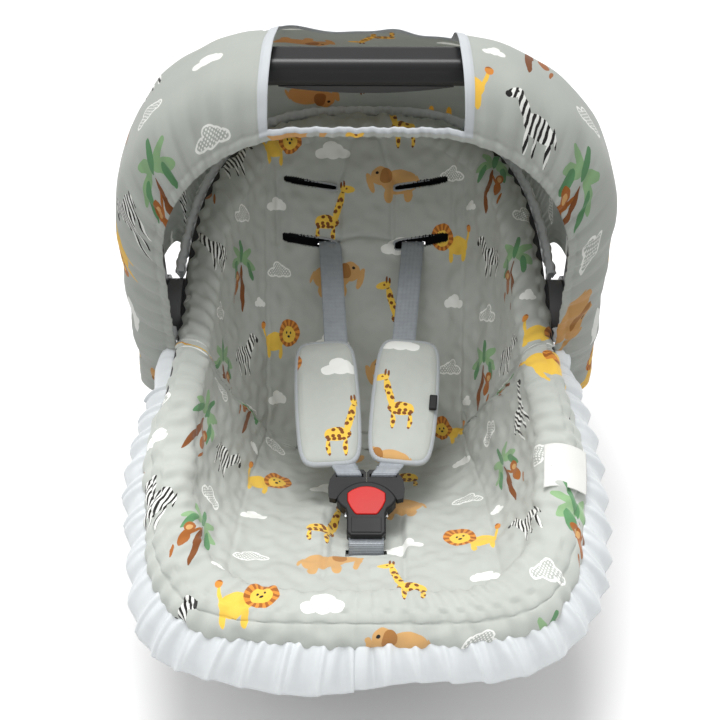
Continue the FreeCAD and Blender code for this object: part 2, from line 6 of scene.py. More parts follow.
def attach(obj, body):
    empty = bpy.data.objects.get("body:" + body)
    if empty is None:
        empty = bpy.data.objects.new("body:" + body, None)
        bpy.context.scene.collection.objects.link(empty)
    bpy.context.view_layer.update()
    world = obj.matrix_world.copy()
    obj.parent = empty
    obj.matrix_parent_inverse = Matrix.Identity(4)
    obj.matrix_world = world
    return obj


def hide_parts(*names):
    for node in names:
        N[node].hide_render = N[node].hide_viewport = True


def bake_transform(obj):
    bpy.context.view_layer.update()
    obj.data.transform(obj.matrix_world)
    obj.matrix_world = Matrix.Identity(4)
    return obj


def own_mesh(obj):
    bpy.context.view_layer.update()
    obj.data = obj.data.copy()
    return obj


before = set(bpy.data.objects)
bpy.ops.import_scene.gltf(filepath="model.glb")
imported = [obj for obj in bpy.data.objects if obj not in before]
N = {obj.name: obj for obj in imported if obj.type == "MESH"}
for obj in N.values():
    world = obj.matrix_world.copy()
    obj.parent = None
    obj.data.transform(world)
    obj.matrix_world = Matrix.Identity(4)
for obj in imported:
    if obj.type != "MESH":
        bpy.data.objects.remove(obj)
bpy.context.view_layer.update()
S = 0.048          # hub axis ahead of the origin, metres
rng = np.random.default_rng(7)


def R(p):
    p = np.array(p, float) / 1000.0
    p[..., 1] += S
    return p


# ------------------------------------------------------------------ camera first
F = 1238.0
cam_data = bpy.data.cameras.new("camera")
cam_data.sensor_width = 36.0
cam_data.lens = F / 720.0 * 36.0
cam_data.clip_end = 50
cam = bpy.data.objects.new("camera", cam_data)
bpy.context.scene.collection.objects.link(cam)
bpy.context.scene.camera = cam
CAM_POS = R([0.0, -966.0, 1170.0])
PITCH, YAW = math.radians(44.64), math.radians(0.32)
look = Vector((-math.sin(YAW) * math.cos(PITCH), math.cos(YAW) * math.cos(PITCH), -math.sin(PITCH)))
cam.location = Vector(CAM_POS)
cam.rotation_euler = look.to_track_quat("-Z", "Y").to_euler()


# ------------------------------------------------------------------ node helpers
class Tree:
    def __init__(self, nt):
        self.nt = nt

    def node(self, kind, **props):
        n = self.nt.nodes.new(kind)
        for k, v in props.items():
            setattr(n, k, v)
        return n

    def link(self, a, b):
        self.nt.links.new(a, b)

    def put(self, sock, v):
        if isinstance(v, (int, float, tuple, list)):
            sock.default_value = v
        else:
            self.link(v, sock)

    def math(self, op, a, b=None, clamp=False):
        n = self.node("ShaderNodeMath", operation=op, use_clamp=clamp)
        self.put(n.inputs[0], a)
        if b is not None:
            self.put(n.inputs[1], b)
        return n.outputs[0]

    def mix(self, f, a, b):
        n = self.node("ShaderNodeMix", data_type="RGBA")
        self.put(n.inputs[0], f)
        self.put(n.inputs[6], a if not isinstance(a, tuple) else (*a, 1.0)[:4])
        self.put(n.inputs[7], b if not isinstance(b, tuple) else (*b, 1.0)[:4])
        return n.outputs[2]

    def ell(self, p, cx, cy, rx, ry, rot=0.0):
        m = self.node("ShaderNodeMapping", vector_type="TEXTURE")
        m.inputs["Location"].default_value = (cx, cy, 0)
        m.inputs["Rotation"].default_value = (0, 0, math.radians(rot))
        m.inputs["Scale"].default_value = (rx, ry, 1)
        self.link(p, m.inputs["Vector"])
        l = self.node("ShaderNodeVectorMath", operation="LENGTH")
        self.link(m.outputs[0], l.inputs[0])
        return l.outputs["Value"]

    def union(self, fields):
        out = fields[0]
        for f in fields[1:]:
            out = self.math("MINIMUM", out, f)
        return self.math("LESS_THAN", out, 1.0)


def srgb(h):
    v = [int(h[i:i + 2], 16) / 255 for i in (0, 2, 4)]
    return tuple((c / 12.92 if c <= 0.04045 else ((c + 0.055) / 1.055) ** 2.4) for c in v)


# ------------------------------------------------------------------ the jungle print, one repeat as a node group
def print_group():
    g = bpy.data.node_groups.new("jungle_print", "ShaderNodeTree")
    g.interface.new_socket("UV", in_out="INPUT", socket_type="NodeSocketVector")
    g.interface.new_socket("Color", in_out="OUTPUT", socket_type="NodeSocketColor")
    t = Tree(g)
    gi, go = t.node("NodeGroupInput"), t.node("NodeGroupOutput")
    sep = t.node("ShaderNodeSeparateXYZ")
    t.link(gi.outputs[0], sep.inputs[0])
    T = 0.216
    u = t.math("DIVIDE", sep.outputs[0], T)
    v = t.math("DIVIDE", sep.outputs[1], T)
    col = t.math("FLOOR", u)
    fu = t.math("FRACT", u)
    par = t.math("MULTIPLY", t.math("FRACT", t.math("MULTIPLY", col, 0.5)), 2.0)
    fv = t.math("FRACT", t.math("ADD", v, t.math("MULTIPLY", par, 0.5)))
    # odd columns run the other way round, so that the repeat shows less
    mir = t.math("SUBTRACT", 1.0, t.math("MULTIPLY", par, 2.0))
    fm = t.math("ADD", t.math("MULTIPLY", t.math("SUBTRACT", fu, 0.5), mir), 0.5)
    cb = t.node("ShaderNodeCombineXYZ")
    t.link(fm, cb.inputs[0]); t.link(fv, cb.inputs[1])
    # a slight wobble of the outlines, as drawn by hand
    nz = t.node("ShaderNodeTexNoise", noise_dimensions="2D")
    nz.inputs["Scale"].default_value = 14.0
    t.link(cb.outputs[0], nz.inputs["Vector"])
    sub = t.node("ShaderNodeVectorMath", operation="SUBTRACT")
    t.link(nz.outputs["Color"], sub.inputs[0]); sub.inputs[1].default_value = (0.5, 0.5, 0.5)
    sc = t.node("ShaderNodeVectorMath", operation="SCALE"); sc.inputs["Scale"].default_value = 0.016
    t.link(sub.outputs[0], sc.inputs[0])
    add = t.node("ShaderNodeVectorMath", operation="ADD")
    t.link(cb.outputs[0], add.inputs[0]); t.link(sc.outputs[0], add.inputs[1])
    p = P0 = add.outputs[0]
    s2 = t.node("ShaderNodeSeparateXYZ"); t.link(p, s2.inputs[0])
    px, py = s2.outputs[0], s2.outputs[1]

    base = srgb("b7bbb5")
    white, brown, dark = srgb("f1f2ee"), srgb("7f4a22"), srgb("22201f")
    yellow, tan, tan_d, mane = srgb("f0c650"), srgb("cfa268"), srgb("a9763f"), srgb("a4622a")
    green, green_d, pale = srgb("8db083"), srgb("5f8f63"), srgb("d5d8d2")
    # fine dots inside the clouds
    dots = t.math("GREATER_THAN", t.math("MULTIPLY", t.math("SINE", t.math("MULTIPLY", px, 340.0)), t.math("SINE", t.math("MULTIPLY", py, 340.0))), 0.25)
    col_ = base

    def after(q, c):
        """The same position, but only known once the colour so far is: the shader then works motif by motif."""
        if isinstance(c, tuple):
            return q
        a = t.node("ShaderNodeVectorMath", operation="MULTIPLY_ADD")
        t.link(c, a.inputs[0]); a.inputs[1].default_value = (1e-6, 1e-6, 0.0); t.link(q, a.inputs[2])
        return a.outputs[0]

    def clouds(c, cx, cy, k, fill, outline=None):
        sh = [(0, 0, .055, .036), (-.05, -.01, .034, .024), (.052, -.012, .036, .025), (.015, .022, .036, .026)]
        p = after(P0, c)
        big = t.union([t.ell(p, cx + a * k, cy + b * k, x * k, y * k) for a, b, x, y in sh])
        c = t.mix(big, c, outline or white)
        if outline or fill == "dots":
            p = after(P0, c)
            inn = t.union([t.ell(p, cx + a * k, cy + b * k, x * k - .008, y * k - .008) for a, b, x, y in sh])
            c = t.mix(inn, c, t.mix(dots, base, white))
        return c

    col_ = clouds(col_, .50, .86, 1.0, "dots")
    col_ = clouds(col_, .17, .49, 1.1, "plain")
    col_ = clouds(col_, .84, .13, 1.05, "dots")
    col_ = clouds(col_, .52, .20, .85, "plain")
    col_ = clouds(col_, .66, .69, .6, "plain")

    def E(cx, cy, k, fl, rows):
        p = after(P0, col_)
        return t.union([t.ell(p, cx + fl * a * k, cy + b * k, x * k, y * k, fl * r) for a, b, x, y, r in rows])

    # elephant
    cx, cy, k = .165, .83, 1.15
    col_ = t.mix(E(cx, cy, k, 1, [(.01, 0, .082, .056, 0), (-.075, .026, .044, .044, 0), (-.122, -.006, .015, .046, 18), (-.04, -.06, .020, .034, 0), (.05, -.06, .020, .034, 0), (.098, .0, .008, .03, 20)]), col_, tan)
    col_ = t.mix(E(cx, cy, k, 1, [(-.05, .03, .028, .036, -12)]), col_, tan_d)
    col_ = t.mix(E(cx, cy, k, 1, [(-.094, .04, .007, .007, 0)]), col_, dark)
    # lion
    cx, cy, k = .49, .51, 1.15
    rad = t.math("ARCTAN2", t.math("SUBTRACT", py, cy + .024 * k), t.math("SUBTRACT", px, cx - .05 * k))
    ray = t.math("GREATER_THAN", t.math("SINE", t.math("MULTIPLY", rad, 13.0)), 0.0)
    col_ = t.mix(E(cx, cy, k, 1, [(.045, -.015, .062, .042, 0), (.0, -.06, .014, .032, 0), (.085, -.058, .014, .032, 0), (.112, .018, .008, .04, -22)]), col_, yellow)
    col_ = t.mix(E(cx, cy, k, 1, [(-.05, .024, .064, .062, 0), (.126, .056, .017, .019, 0)]), col_, t.mix(ray, mane, srgb("d98e3c")))
    col_ = t.mix(E(cx, cy, k, 1, [(-.05, .016, .040, .037, 0)]), col_, yellow)
    col_ = t.mix(E(cx, cy, k, 1, [(-.064, .026, .005, .006, 0), (-.036, .026, .005, .006, 0), (-.05, .008, .009, .006, 0)]), col_, dark)
    # zebra
    cx, cy, k = .84, .42, 1.15
    st = t.math("GREATER_THAN", t.math("SINE", t.math("ADD", t.math("MULTIPLY", px, 235.0), t.math("MULTIPLY", py, -70.0))), 0.05)
    col_ = t.mix(E(cx, cy, k, 1, [(.02, 0, .068, .038, 0), (-.045, .042, .021, .05, 28), (-.083, .074, .034, .017, 24), (-.03, -.055, .010, .036, 0), (.01, -.055, .009, .034, 0), (.07, -.055, .010, .036, 0), (.092, .0, .006, .03, 14)]), col_, t.mix(st, white, dark))
    col_ = t.mix(E(cx, cy, k, 1, [(-.108, .064, .012, .011, 0), (-.075, .08, .005, .005, 0)]), col_, dark)
    # giraffe
    cx, cy, k = .17, .155, 1.15
    vo = t.node("ShaderNodeTexVoronoi", voronoi_dimensions="2D"); vo.inputs["Scale"].default_value = 38.0
    t.link(p, vo.inputs["Vector"])
    sp = t.math("LESS_THAN", vo.outputs["Distance"], 0.36)
    col_ = t.mix(E(cx, cy, k, 1, [(.03, -.03, .056, .034, 0), (-.028, .045, .017, .078, 16), (-.0, -.088, .010, .04, 0), (.068, -.088, .010, .04, 0)]), col_, t.mix(sp, yellow, brown))
    col_ = t.mix(E(cx, cy, k, 1, [(-.066, .118, .034, .017, 14)]), col_, yellow)
    col_ = t.mix(E(cx, cy, k, 1, [(-.05, .142, .005, .014, 0), (-.036, .138, .005, .013, 0), (-.062, .122, .005, .005, 0)]), col_, brown)
    # palm with a monkey
    cx, cy, k = .84, .82, 1.35
    col_ = t.mix(E(cx, cy, k, 1, [(-.012, -.065, .013, .07, -7), (-.002, -.01, .011, .05, 2)]), col_, brown)
    col_ = t.mix(E(cx, cy, k, 1, [(-.05, .048, .056, .017, 22), (.05, .048, .056, .017, -22), (-.036, .082, .046, .015, -28), (.036, .082, .046, .015, 28)]), col_, green)
    col_ = t.mix(E(cx, cy, k, 1, [(0, .09, .015, .045, 0), (-.062, .02, .014, .04, -28), (.062, .02, .014, .04, 28)]), col_, green_d)
    col_ = t.mix(E(cx, cy, k, 1, [(.045, -.045, .021, .03, 0), (.05, -.004, .022, .019, 0), (.024, -.012, .006, .03, 40), (.07, -.085, .006, .024, -20)]), col_, mane)
    col_ = t.mix(E(cx, cy, k, 1, [(.05, -.007, .013, .011, 0)]), col_, tan)
    t.link(col_, go.inputs[0])
    return g


PRINT = print_group()


def material(name, color=(0.5, 0.5, 0.5), rough=0.5, **kw):
    m = bpy.data.materials.new(name)
    m.use_nodes = True
    nt = m.node_tree
    b = nt.nodes["Principled BSDF"]
    b.inputs["Base Color"].default_value = (*color, 1)
    b.inputs["Roughness"].default_value = rough
    for k, v in kw.items():
        b.inputs[k.replace("_", " ")].default_value = v
    return m, Tree(nt), b


def bump(t, b, height, strength, dist):
    n = t.node("ShaderNodeBump")
    n.inputs["Strength"].default_value = strength
    n.inputs["Distance"].default_value = dist
    t.link(height, n.inputs["Height"])
    t.link(n.outputs[0], b.inputs["Normal"])


def weave(t, uv, scale):
    sep = t.node("ShaderNodeSeparateXYZ"); t.link(uv, sep.inputs[0])
    a = t.math("SINE", t.math("MULTIPLY", sep.outputs[0], scale))
    c = t.math("SINE", t.math("MULTIPLY", sep.outputs[1], scale))
    return t.math("MULTIPLY", a, c)


def fabric_print(name, gain=1.0, rough=0.82, thin=0.0):
    m, t, b = material(name, rough=rough, Sheen_Weight=0.25, Sheen_Roughness=0.5, Specular_IOR_Level=0.25)
    uv = t.node("ShaderNodeUVMap", uv_map="cloth")
    g = t.node("ShaderNodeGroup"); g.node_tree = PRINT
    t.link(uv.outputs[0], g.inputs[0])
    nz = t.node("ShaderNodeTexNoise"); nz.inputs["Scale"].default_value = 30.0; nz.inputs["Detail"].default_value = 3.0
    t.link(uv.outputs[0], nz.inputs["Vector"])
    f = t.math("ADD", t.math("MULTIPLY", nz.outputs["Fac"], 0.12), 0.94 * gain - 0.06)
    mul = t.node("ShaderNodeMix", data_type="RGBA", blend_type="MULTIPLY"); mul.inputs[0].default_value = 1.0
    t.link(g.outputs[0], mul.inputs[6])
    cb = t.node("ShaderNodeCombineXYZ")
    for i in range(3):
        t.link(f, cb.inputs[i])
    t.link(cb.outputs[0], mul.inputs[7])
    t.link(mul.outputs[2], b.inputs["Base Color"])
    fine = t.node("ShaderNodeTexNoise"); fine.inputs["Scale"].default_value = 900.0
    t.link(uv.outputs[0], fine.inputs["Vector"])
    h = t.math("ADD", t.math("MULTIPLY", weave(t, uv.outputs[0], 5200.0), 0.5), fine.outputs["Fac"])
    bump(t, b, h, 0.25, 0.0004)
    if thin:
        # one thin layer: some daylight comes through it
        tl = t.node("ShaderNodeBsdfTranslucent")
        t.link(mul.outputs[2], tl.inputs["Color"])
        mx = t.node("ShaderNodeMixShader")
        mx.inputs[0].default_value = thin
        t.link(b.outputs[0], mx.inputs[1]); t.link(tl.outputs[0], mx.inputs[2])
        out = [n for n in m.node_tree.nodes if n.type == "OUTPUT_MATERIAL"][0]
        t.link(mx.outputs[0], out.inputs["Surface"])
    return m


M_LINER = fabric_print("liner_print")
M_HOOD = fabric_print("hood_print", rough=0.78, thin=0.38)
M_PAD = fabric_print("pad_print")


def cloth_plain(name, color, rough=0.7, sheen=0.3, spec=0.3, scale=4200.0, strength=0.3):
    m, t, b = material(name, color, rough, Sheen_Weight=sheen, Sheen_Roughness=0.45, Specular_IOR_Level=spec)
    uv = t.node("ShaderNodeUVMap", uv_map="cloth")
    nz = t.node("ShaderNodeTexNoise"); nz.inputs["Scale"].default_value = 60.0; nz.inputs["Detail"].default_value = 4.0
    t.link(uv.outputs[0], nz.inputs["Vector"])
    c = t.mix(nz.outputs["Fac"], tuple(x * 0.93 for x in color), tuple(min(1, x * 1.05) for x in color))
    t.link(c, b.inputs["Base Color"])
    bump(t, b, weave(t, uv.outputs[0], scale), strength, 0.0004)
    return m


M_TAPE = cloth_plain("grey_tape", srgb("a6aaad"), 0.6, 0.3, 0.35, 3600.0)
M_SATIN = cloth_plain("satin", srgb("cfd3d5"), 0.40, 0.1, 0.4, 7000.0, 0.12)
# near-black for the liner's slot openings: painted shade standing in for the depth of the holes
M_SLOT_SHADE = cloth_plain("slot_painted_shade", (0.008, 0.008, 0.009), 0.9, 0.05, 0.1)
M_LABEL = cloth_plain("label_white", srgb("d8d8d5"), 0.6, 0.2, 0.3)


def webbing_mat():
    m, t, b = material("webbing", rough=0.42, Sheen_Weight=0.15, Specular_IOR_Level=0.5)
    uv = t.node("ShaderNodeUVMap", uv_map="cloth")
    sep = t.node("ShaderNodeSeparateXYZ"); t.link(uv.outputs[0], sep.inputs[0])
    x, y = sep.outputs[0], sep.outputs[1]
    rib = t.math("SINE", t.math("MULTIPLY", y, 2 * math.pi / 0.0018))
    lane = t.math("SINE", t.math("MULTIPLY", x, 2 * math.pi / 0.0042))
    h = t.math("ADD", rib, t.math("MULTIPLY", lane, 0.8))
    # colour follows the ribs, lighter on the crests and darker in the grooves: painted shade, mixed with random tone
    # from the noise
    f = t.math("MULTIPLY", t.math("ADD", rib, 1.0), 0.5)
    nz = t.node("ShaderNodeTexNoise"); nz.inputs["Scale"].default_value = 120.0
    t.link(uv.outputs[0], nz.inputs["Vector"])
    f2 = t.math("ADD", t.math("MULTIPLY", f, 0.5), t.math("MULTIPLY", nz.outputs["Fac"], 0.5))
    t.link(t.mix(f2, srgb("7b8187"), srgb("a3a9af")), b.inputs["Base Color"])
    bump(t, b, h, 0.5, 0.0003)
    return m


M_WEB = webbing_mat()


def plastic(name, color, rough, grain=900.0, strength=0.12, spec=0.5, coat=0.0):
    m, t, b = material(name, color, rough, Specular_IOR_Level=spec, Coat_Weight=coat, Coat_Roughness=0.15)
    tc = t.node("ShaderNodeTexCoord")
    nz = t.node("ShaderNodeTexNoise"); nz.inputs["Scale"].default_value = grain; nz.inputs["Detail"].default_value = 2.0
    t.link(tc.outputs["Object"], nz.inputs["Vector"])
    big = t.node("ShaderNodeTexNoise"); big.inputs["Scale"].default_value = 18.0; big.inputs["Detail"].default_value = 5.0
    t.link(tc.outputs["Object"], big.inputs["Vector"])
    r = t.node("ShaderNodeMapRange")
    r.inputs["To Min"].default_value = max(0.05, rough - 0.07); r.inputs["To Max"].default_value = rough + 0.09
    t.link(big.outputs["Fac"], r.inputs["Value"]); t.link(r.outputs[0], b.inputs["Roughness"])
    t.link(t.mix(big.outputs["Fac"], tuple(c * 0.85 for c in color), tuple(min(1, c * 1.2) for c in color)), b.inputs["Base Color"])
    bump(t, b, nz.outputs["Fac"], strength, 0.0005)
    return m


M_BLACK = plastic("black_gloss", (0.010, 0.010, 0.011), 0.34, 700.0, 0.06, 0.3)
M_SHELL = plastic("black_grained", (0.018, 0.018, 0.02), 0.5, 600.0, 0.35)
M_BUCKLE = plastic("buckle_black", (0.011, 0.011, 0.012), 0.5, 900.0, 0.10, 0.22)
M_GRIP = plastic("grip_soft", (0.02, 0.02, 0.02), 0.6, 1200.0, 0.3)
M_RUBBER = plastic("rubber", (0.03, 0.03, 0.03), 0.75, 800.0, 0.4)
M_GREYP = plastic("grey_plastic", (0.10, 0.10, 0.105), 0.45)
M_RED = plastic("red_button", srgb("b31b16"), 0.42, 900.0, 0.04, 0.22, 0.0)
M_FOAM = plastic("bead_foam", (0.72, 0.72, 0.70), 0.8, 140.0, 0.6)


def steel():
    m, t, b = material("zinc_steel", (0.55, 0.56, 0.57), 0.35, Metallic=1.0)
    tc = t.node("ShaderNodeTexCoord")
    nz = t.node("ShaderNodeTexNoise"); nz.inputs["Scale"].default_value = 400.0; nz.inputs["Detail"].default_value = 4.0
    t.link(tc.outputs["Object"], nz.inputs["Vector"])
    r = t.node("ShaderNodeMapRange"); r.inputs["To Min"].default_value = 0.25; r.inputs["To Max"].default_value = 0.5
    t.link(nz.outputs["Fac"], r.inputs["Value"]); t.link(r.outputs[0], b.inputs["Roughness"])
    t.link(t.mix(nz.outputs["Fac"], (0.5, 0.51, 0.52), (0.66, 0.67, 0.68)), b.inputs["Base Color"])
    return m


M_STEEL = steel()
for names, mat in (
    (("shell", "rocker_base"), M_SHELL), (("foot_pads",), M_RUBBER),
    (("base_screws", "hub_screws", "buckle_spring", "crotch_anchor", "strap_slides", "handle_spring_left", "handle_spring_right", "tongue_blade_left", "tongue_blade_right"), M_STEEL),
    (("foam_insert",), M_FOAM), (("hub_socket_left", "hub_socket_right", "handle_button_left", "handle_button_right"), M_GREYP),
    (("handle_arch", "hub_cap_left", "hub_cap_right"), M_BLACK), (("handle_grip",), M_GRIP),
    (("buckle_housing", "tongue_left", "tongue_right", "pad_hook"), M_BUCKLE), (("buckle_button",), M_RED),
):
    for n in names:
        N[n].data.materials.clear()
        N[n].data.materials.append(mat)


# ------------------------------------------------------------------ geometry helpers
def make(name, verts, faces, uv, mats, midx=None, body=None, smooth=True):
    """Mesh object from vertices in the row frame, metres; uv is one pair for each vertex, metres of cloth."""
    me = bpy.data.meshes.new(name)
    me.from_pydata([], [], []) if False else None
    verts = np.asarray(verts, np.float32)
    faces = np.asarray(faces, np.int32)
    k = faces.shape[1]
    me.vertices.add(len(verts)); me.vertices.foreach_set("co", verts.ravel())
    me.loops.add(faces.size); me.loops.foreach_set("vertex_index", faces.ravel())
    me.polygons.add(len(faces))
    me.polygons.foreach_set("loop_start", np.arange(len(faces), dtype=np.int32) * k)
    me.polygons.foreach_set("loop_total", np.full(len(faces), k, np.int32))
    for m in mats:
        me.materials.append(m)
    if midx is not None:
        me.polygons.foreach_set("material_index", np.asarray(midx, np.int32))
    me.polygons.foreach_set("use_smooth", np.full(len(faces), smooth))
    layer = me.uv_layers.new(name="cloth")
    layer.data.foreach_set("uv", np.asarray(uv, np.float32)[faces.ravel()].ravel())
    me.update(calc_edges=True)
    me.validate()
    ob = bpy.data.objects.new(name, me)
    bpy.context.scene.collection.objects.link(ob)
    if body:
        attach(ob, body)
    return ob


def grid_faces(nr, nc, closed=False):
    i = np.arange(nr - 1)[:, None]
    j = np.arange(nc if closed else nc - 1)[None, :]
    a = i * nc + j
    b = i * nc + (j + 1) % nc
    return np.stack([a, b, b + nc, a + nc], -1).reshape(-1, 4)


def grid_normals(P, closed=False):
    du = np.zeros_like(P)
    if closed:
        dv = np.roll(P, -1, 1) - np.roll(P, 1, 1)
    else:
        dv = np.gradient(P, axis=1)
    du = np.gradient(P, axis=0)
    n = np.cross(du, dv)
    l = np.linalg.norm(n, axis=-1, keepdims=True)
    return n / np.maximum(l, 1e-9)


def wob(u, v, scale, seed, n=10):
    """Smooth noise, about -1..1, with features of the given size."""
    r = np.random.default_rng(seed)
    out = np.zeros(np.broadcast(u, v).shape)
    for _ in range(n):
        a = r.uniform(0, 2 * math.pi)
        k = 2 * math.pi / scale * r.uniform(0.6, 1.5)
        out = out + np.sin(k * (u * math.cos(a) + v * math.sin(a)) + r.uniform(0, 6.28))
    return out / math.sqrt(n) / 1.2


def smoothstep(e0, e1, x):
    t = np.clip((x - e0) / (e1 - e0), 0, 1)
    return t * t * (3 - 2 * t)


def apply_mods(ob):
    bpy.context.view_layer.update()
    dg = bpy.context.evaluated_depsgraph_get()
    me = bpy.data.meshes.new_from_object(ob.evaluated_get(dg))
    old = ob.data
    ob.modifiers.clear()
    ob.data = me
    bpy.data.meshes.remove(old)


def solidify(ob, t, offset=0.0):
    m = ob.modifiers.new("s", "SOLIDIFY")
    m.thickness = t
    m.offset = offset
    apply_mods(ob)


def area(ob):
    return sum(p.area for p in ob.data.polygons)


# ------------------------------------------------------------------ the tub's shape (millimetres, about the hub axis)
def rounded(points, radii, step=2.0):
    out = [points[0]]
    for i in range(1, len(points) - 1):
        p, a, b, r = points[i], points[i - 1], points[i + 1], radii[i - 1]
        ua = np.subtract(a, p) / np.linalg.norm(np.subtract(a, p))
        ub = np.subtract(b, p) / np.linalg.norm(np.subtract(b, p))
        ang = math.acos(float(np.clip(ua @ ub, -1, 1)))
        t = r / math.tan(ang / 2)
        s, e = p + ua * t, p + ub * t
        bis = ua + ub
        c = p + bis / np.linalg.norm(bis) * r / math.sin(ang / 2)
        a0, a1 = math.atan2(s[1] - c[1], s[0] - c[0]), math.atan2(e[1] - c[1], e[0] - c[0])
        while a1 - a0 > math.pi: a1 -= 2 * math.pi
        while a1 - a0 < -math.pi: a1 += 2 * math.pi
        n = max(4, int(abs(a1 - a0) * r / step))
        out += [tuple(c + r * np.array([math.cos(a0 + (a1 - a0) * k / n), math.sin(a0 + (a1 - a0) * k / n)])) for k in range(n + 1)]
    out.append(points[-1])
    dense = []
    for a, b in zip(out, out[1:]):
        n = max(1, int(math.hypot(b[0] - a[0], b[1] - a[1]) / step))
        dense += [(a[0] + (b[0] - a[0]) * k / n, a[1] + (b[1] - a[1]) * k / n) for k in range(n)]
    return np.array(dense + [out[-1]])


def moved_in(pts, t):
    d = np.gradient(pts, axis=0)
    d /= np.linalg.norm(d, axis=1, keepdims=True)
    return pts + np.stack([-d[:, 1], d[:, 0]], 1) * t


FOOT_Y, HEAD_Y = -344.0, 240.0
PROFILE = rounded([(FOOT_Y, 470.0), (FOOT_Y, 215.0), (-33.3, 86.4), (HEAD_Y, 86.4 + HEAD_Y + 33.3), (HEAD_Y, 470.0)], [30.0, 62.0, 45.0])
WIDTH = rounded([(0.0, 96.8), (112.0, 96.8), (181.0, 250.0), (189.0, 470.0)], [72.0, 300.0])
TUBS = {}


def curves(t):
    if t not in TUBS:
        p, w = moved_in(PROFILE, t), moved_in(WIDTH, t)
        low = int(p[:, 1].argmin())
        foot, head = p[:low + 1][::-1], p[low:]
        TUBS[t] = (np.maximum.accumulate(foot[:, 1]), foot[:, 0], np.maximum.accumulate(head[:, 1]), head[:, 0], np.maximum.accumulate(w[3:, 1]), w[3:, 0], p[low, 1])
    return TUBS[t]


def tub_xy(a, z, t):
    zf, yf, zh, yh, zw, ww, z0 = curves(t)
    y1, y2, w = np.interp(z, zf, yf), np.interp(z, zh, yh), np.interp(z, zw, ww)
    k = np.clip((z - z0) / 60.0, 0, 1)
    c, s = np.cos(a), np.sin(a)
    e = np.where(s < 0, 2.4 + 2.2 * k, 2.2 + 0.8 * k)
    x = w * np.sign(c) * np.abs(c) ** (2 / e)
    y = (y1 + y2) / 2 + (y2 - y1) / 2 * np.sign(s) * np.abs(s) ** (2 / e)
    u = np.clip((-30 - y) / 150, 0, 1)
    return x * (1 + 0.115 * u * u * (3 - 2 * u)), y


RIM = np.array([(-420, 232), (-344, 233), (-300, 236), (-230, 246), (-150, 266), (-80, 291), (0, 316), (70, 337), (140, 353), (200, 364), (245, 370), (330, 378)], float)


def rim_z(y):
    return np.interp(y, RIM[:, 0], RIM[:, 1])


def rim_angles(n):
    """Angles evenly spaced along the rim."""
    a = np.linspace(0, 2 * np.pi, 8001)
    x, y = tub_xy(a, np.full_like(a, 300.0), 10.0)
    x2, y2 = tub_xy(a, rim_z(y), 10.0)
    s = np.concatenate([[0], np.cumsum(np.hypot(np.diff(x2), np.diff(y2)))])
    return np.interp(np.arange(n) * s[-1] / n, s, a), s[-1]


def rim_point(a, t, dz=0.0):
    z = np.full_like(a, 300.0)
    for _ in range(12):
        x, y = tub_xy(a, z, t)
        z = 0.5 * z + 0.5 * (rim_z(y) + dz)
    return x, y, z


# harness line
hs, hc = math.sin(math.radians(12.4)), math.cos(math.radians(12.4))
LINE_U, LINE_N = np.array([0, hc, hs]), np.array([0, -hs, hc])
c45 = math.sqrt(0.5)
BACK_N, BACK_U = np.array([0, -c45, c45]), np.array([0, c45, c45])
PAN_N, PAN_U = np.array([0, math.sin(math.radians(22.5)), math.cos(math.radians(22.5))]), np.array([0, math.cos(math.radians(22.5)), -math.sin(math.radians(22.5))])
SLOT = np.array([0, 123.0, 283.0])


def on_line(l, x=0.0, n=0.0):
    return SLOT - LINE_U * l + LINE_N * n + np.array([x, 0, 0])


STRAPS = {"left": (-40.0, -21.0), "right": (54.0, 27.0)}


# ------------------------------------------------------------------ liner
def edge_of(y):
    """How far the liner's edge hangs below the rim and stands out from it."""
    foot, front = smoothstep(-230, -335, y), smoothstep(-70, -190, y)
    return 9 + 9 * front, 1.5 + 8 * front + 4.5 * foot


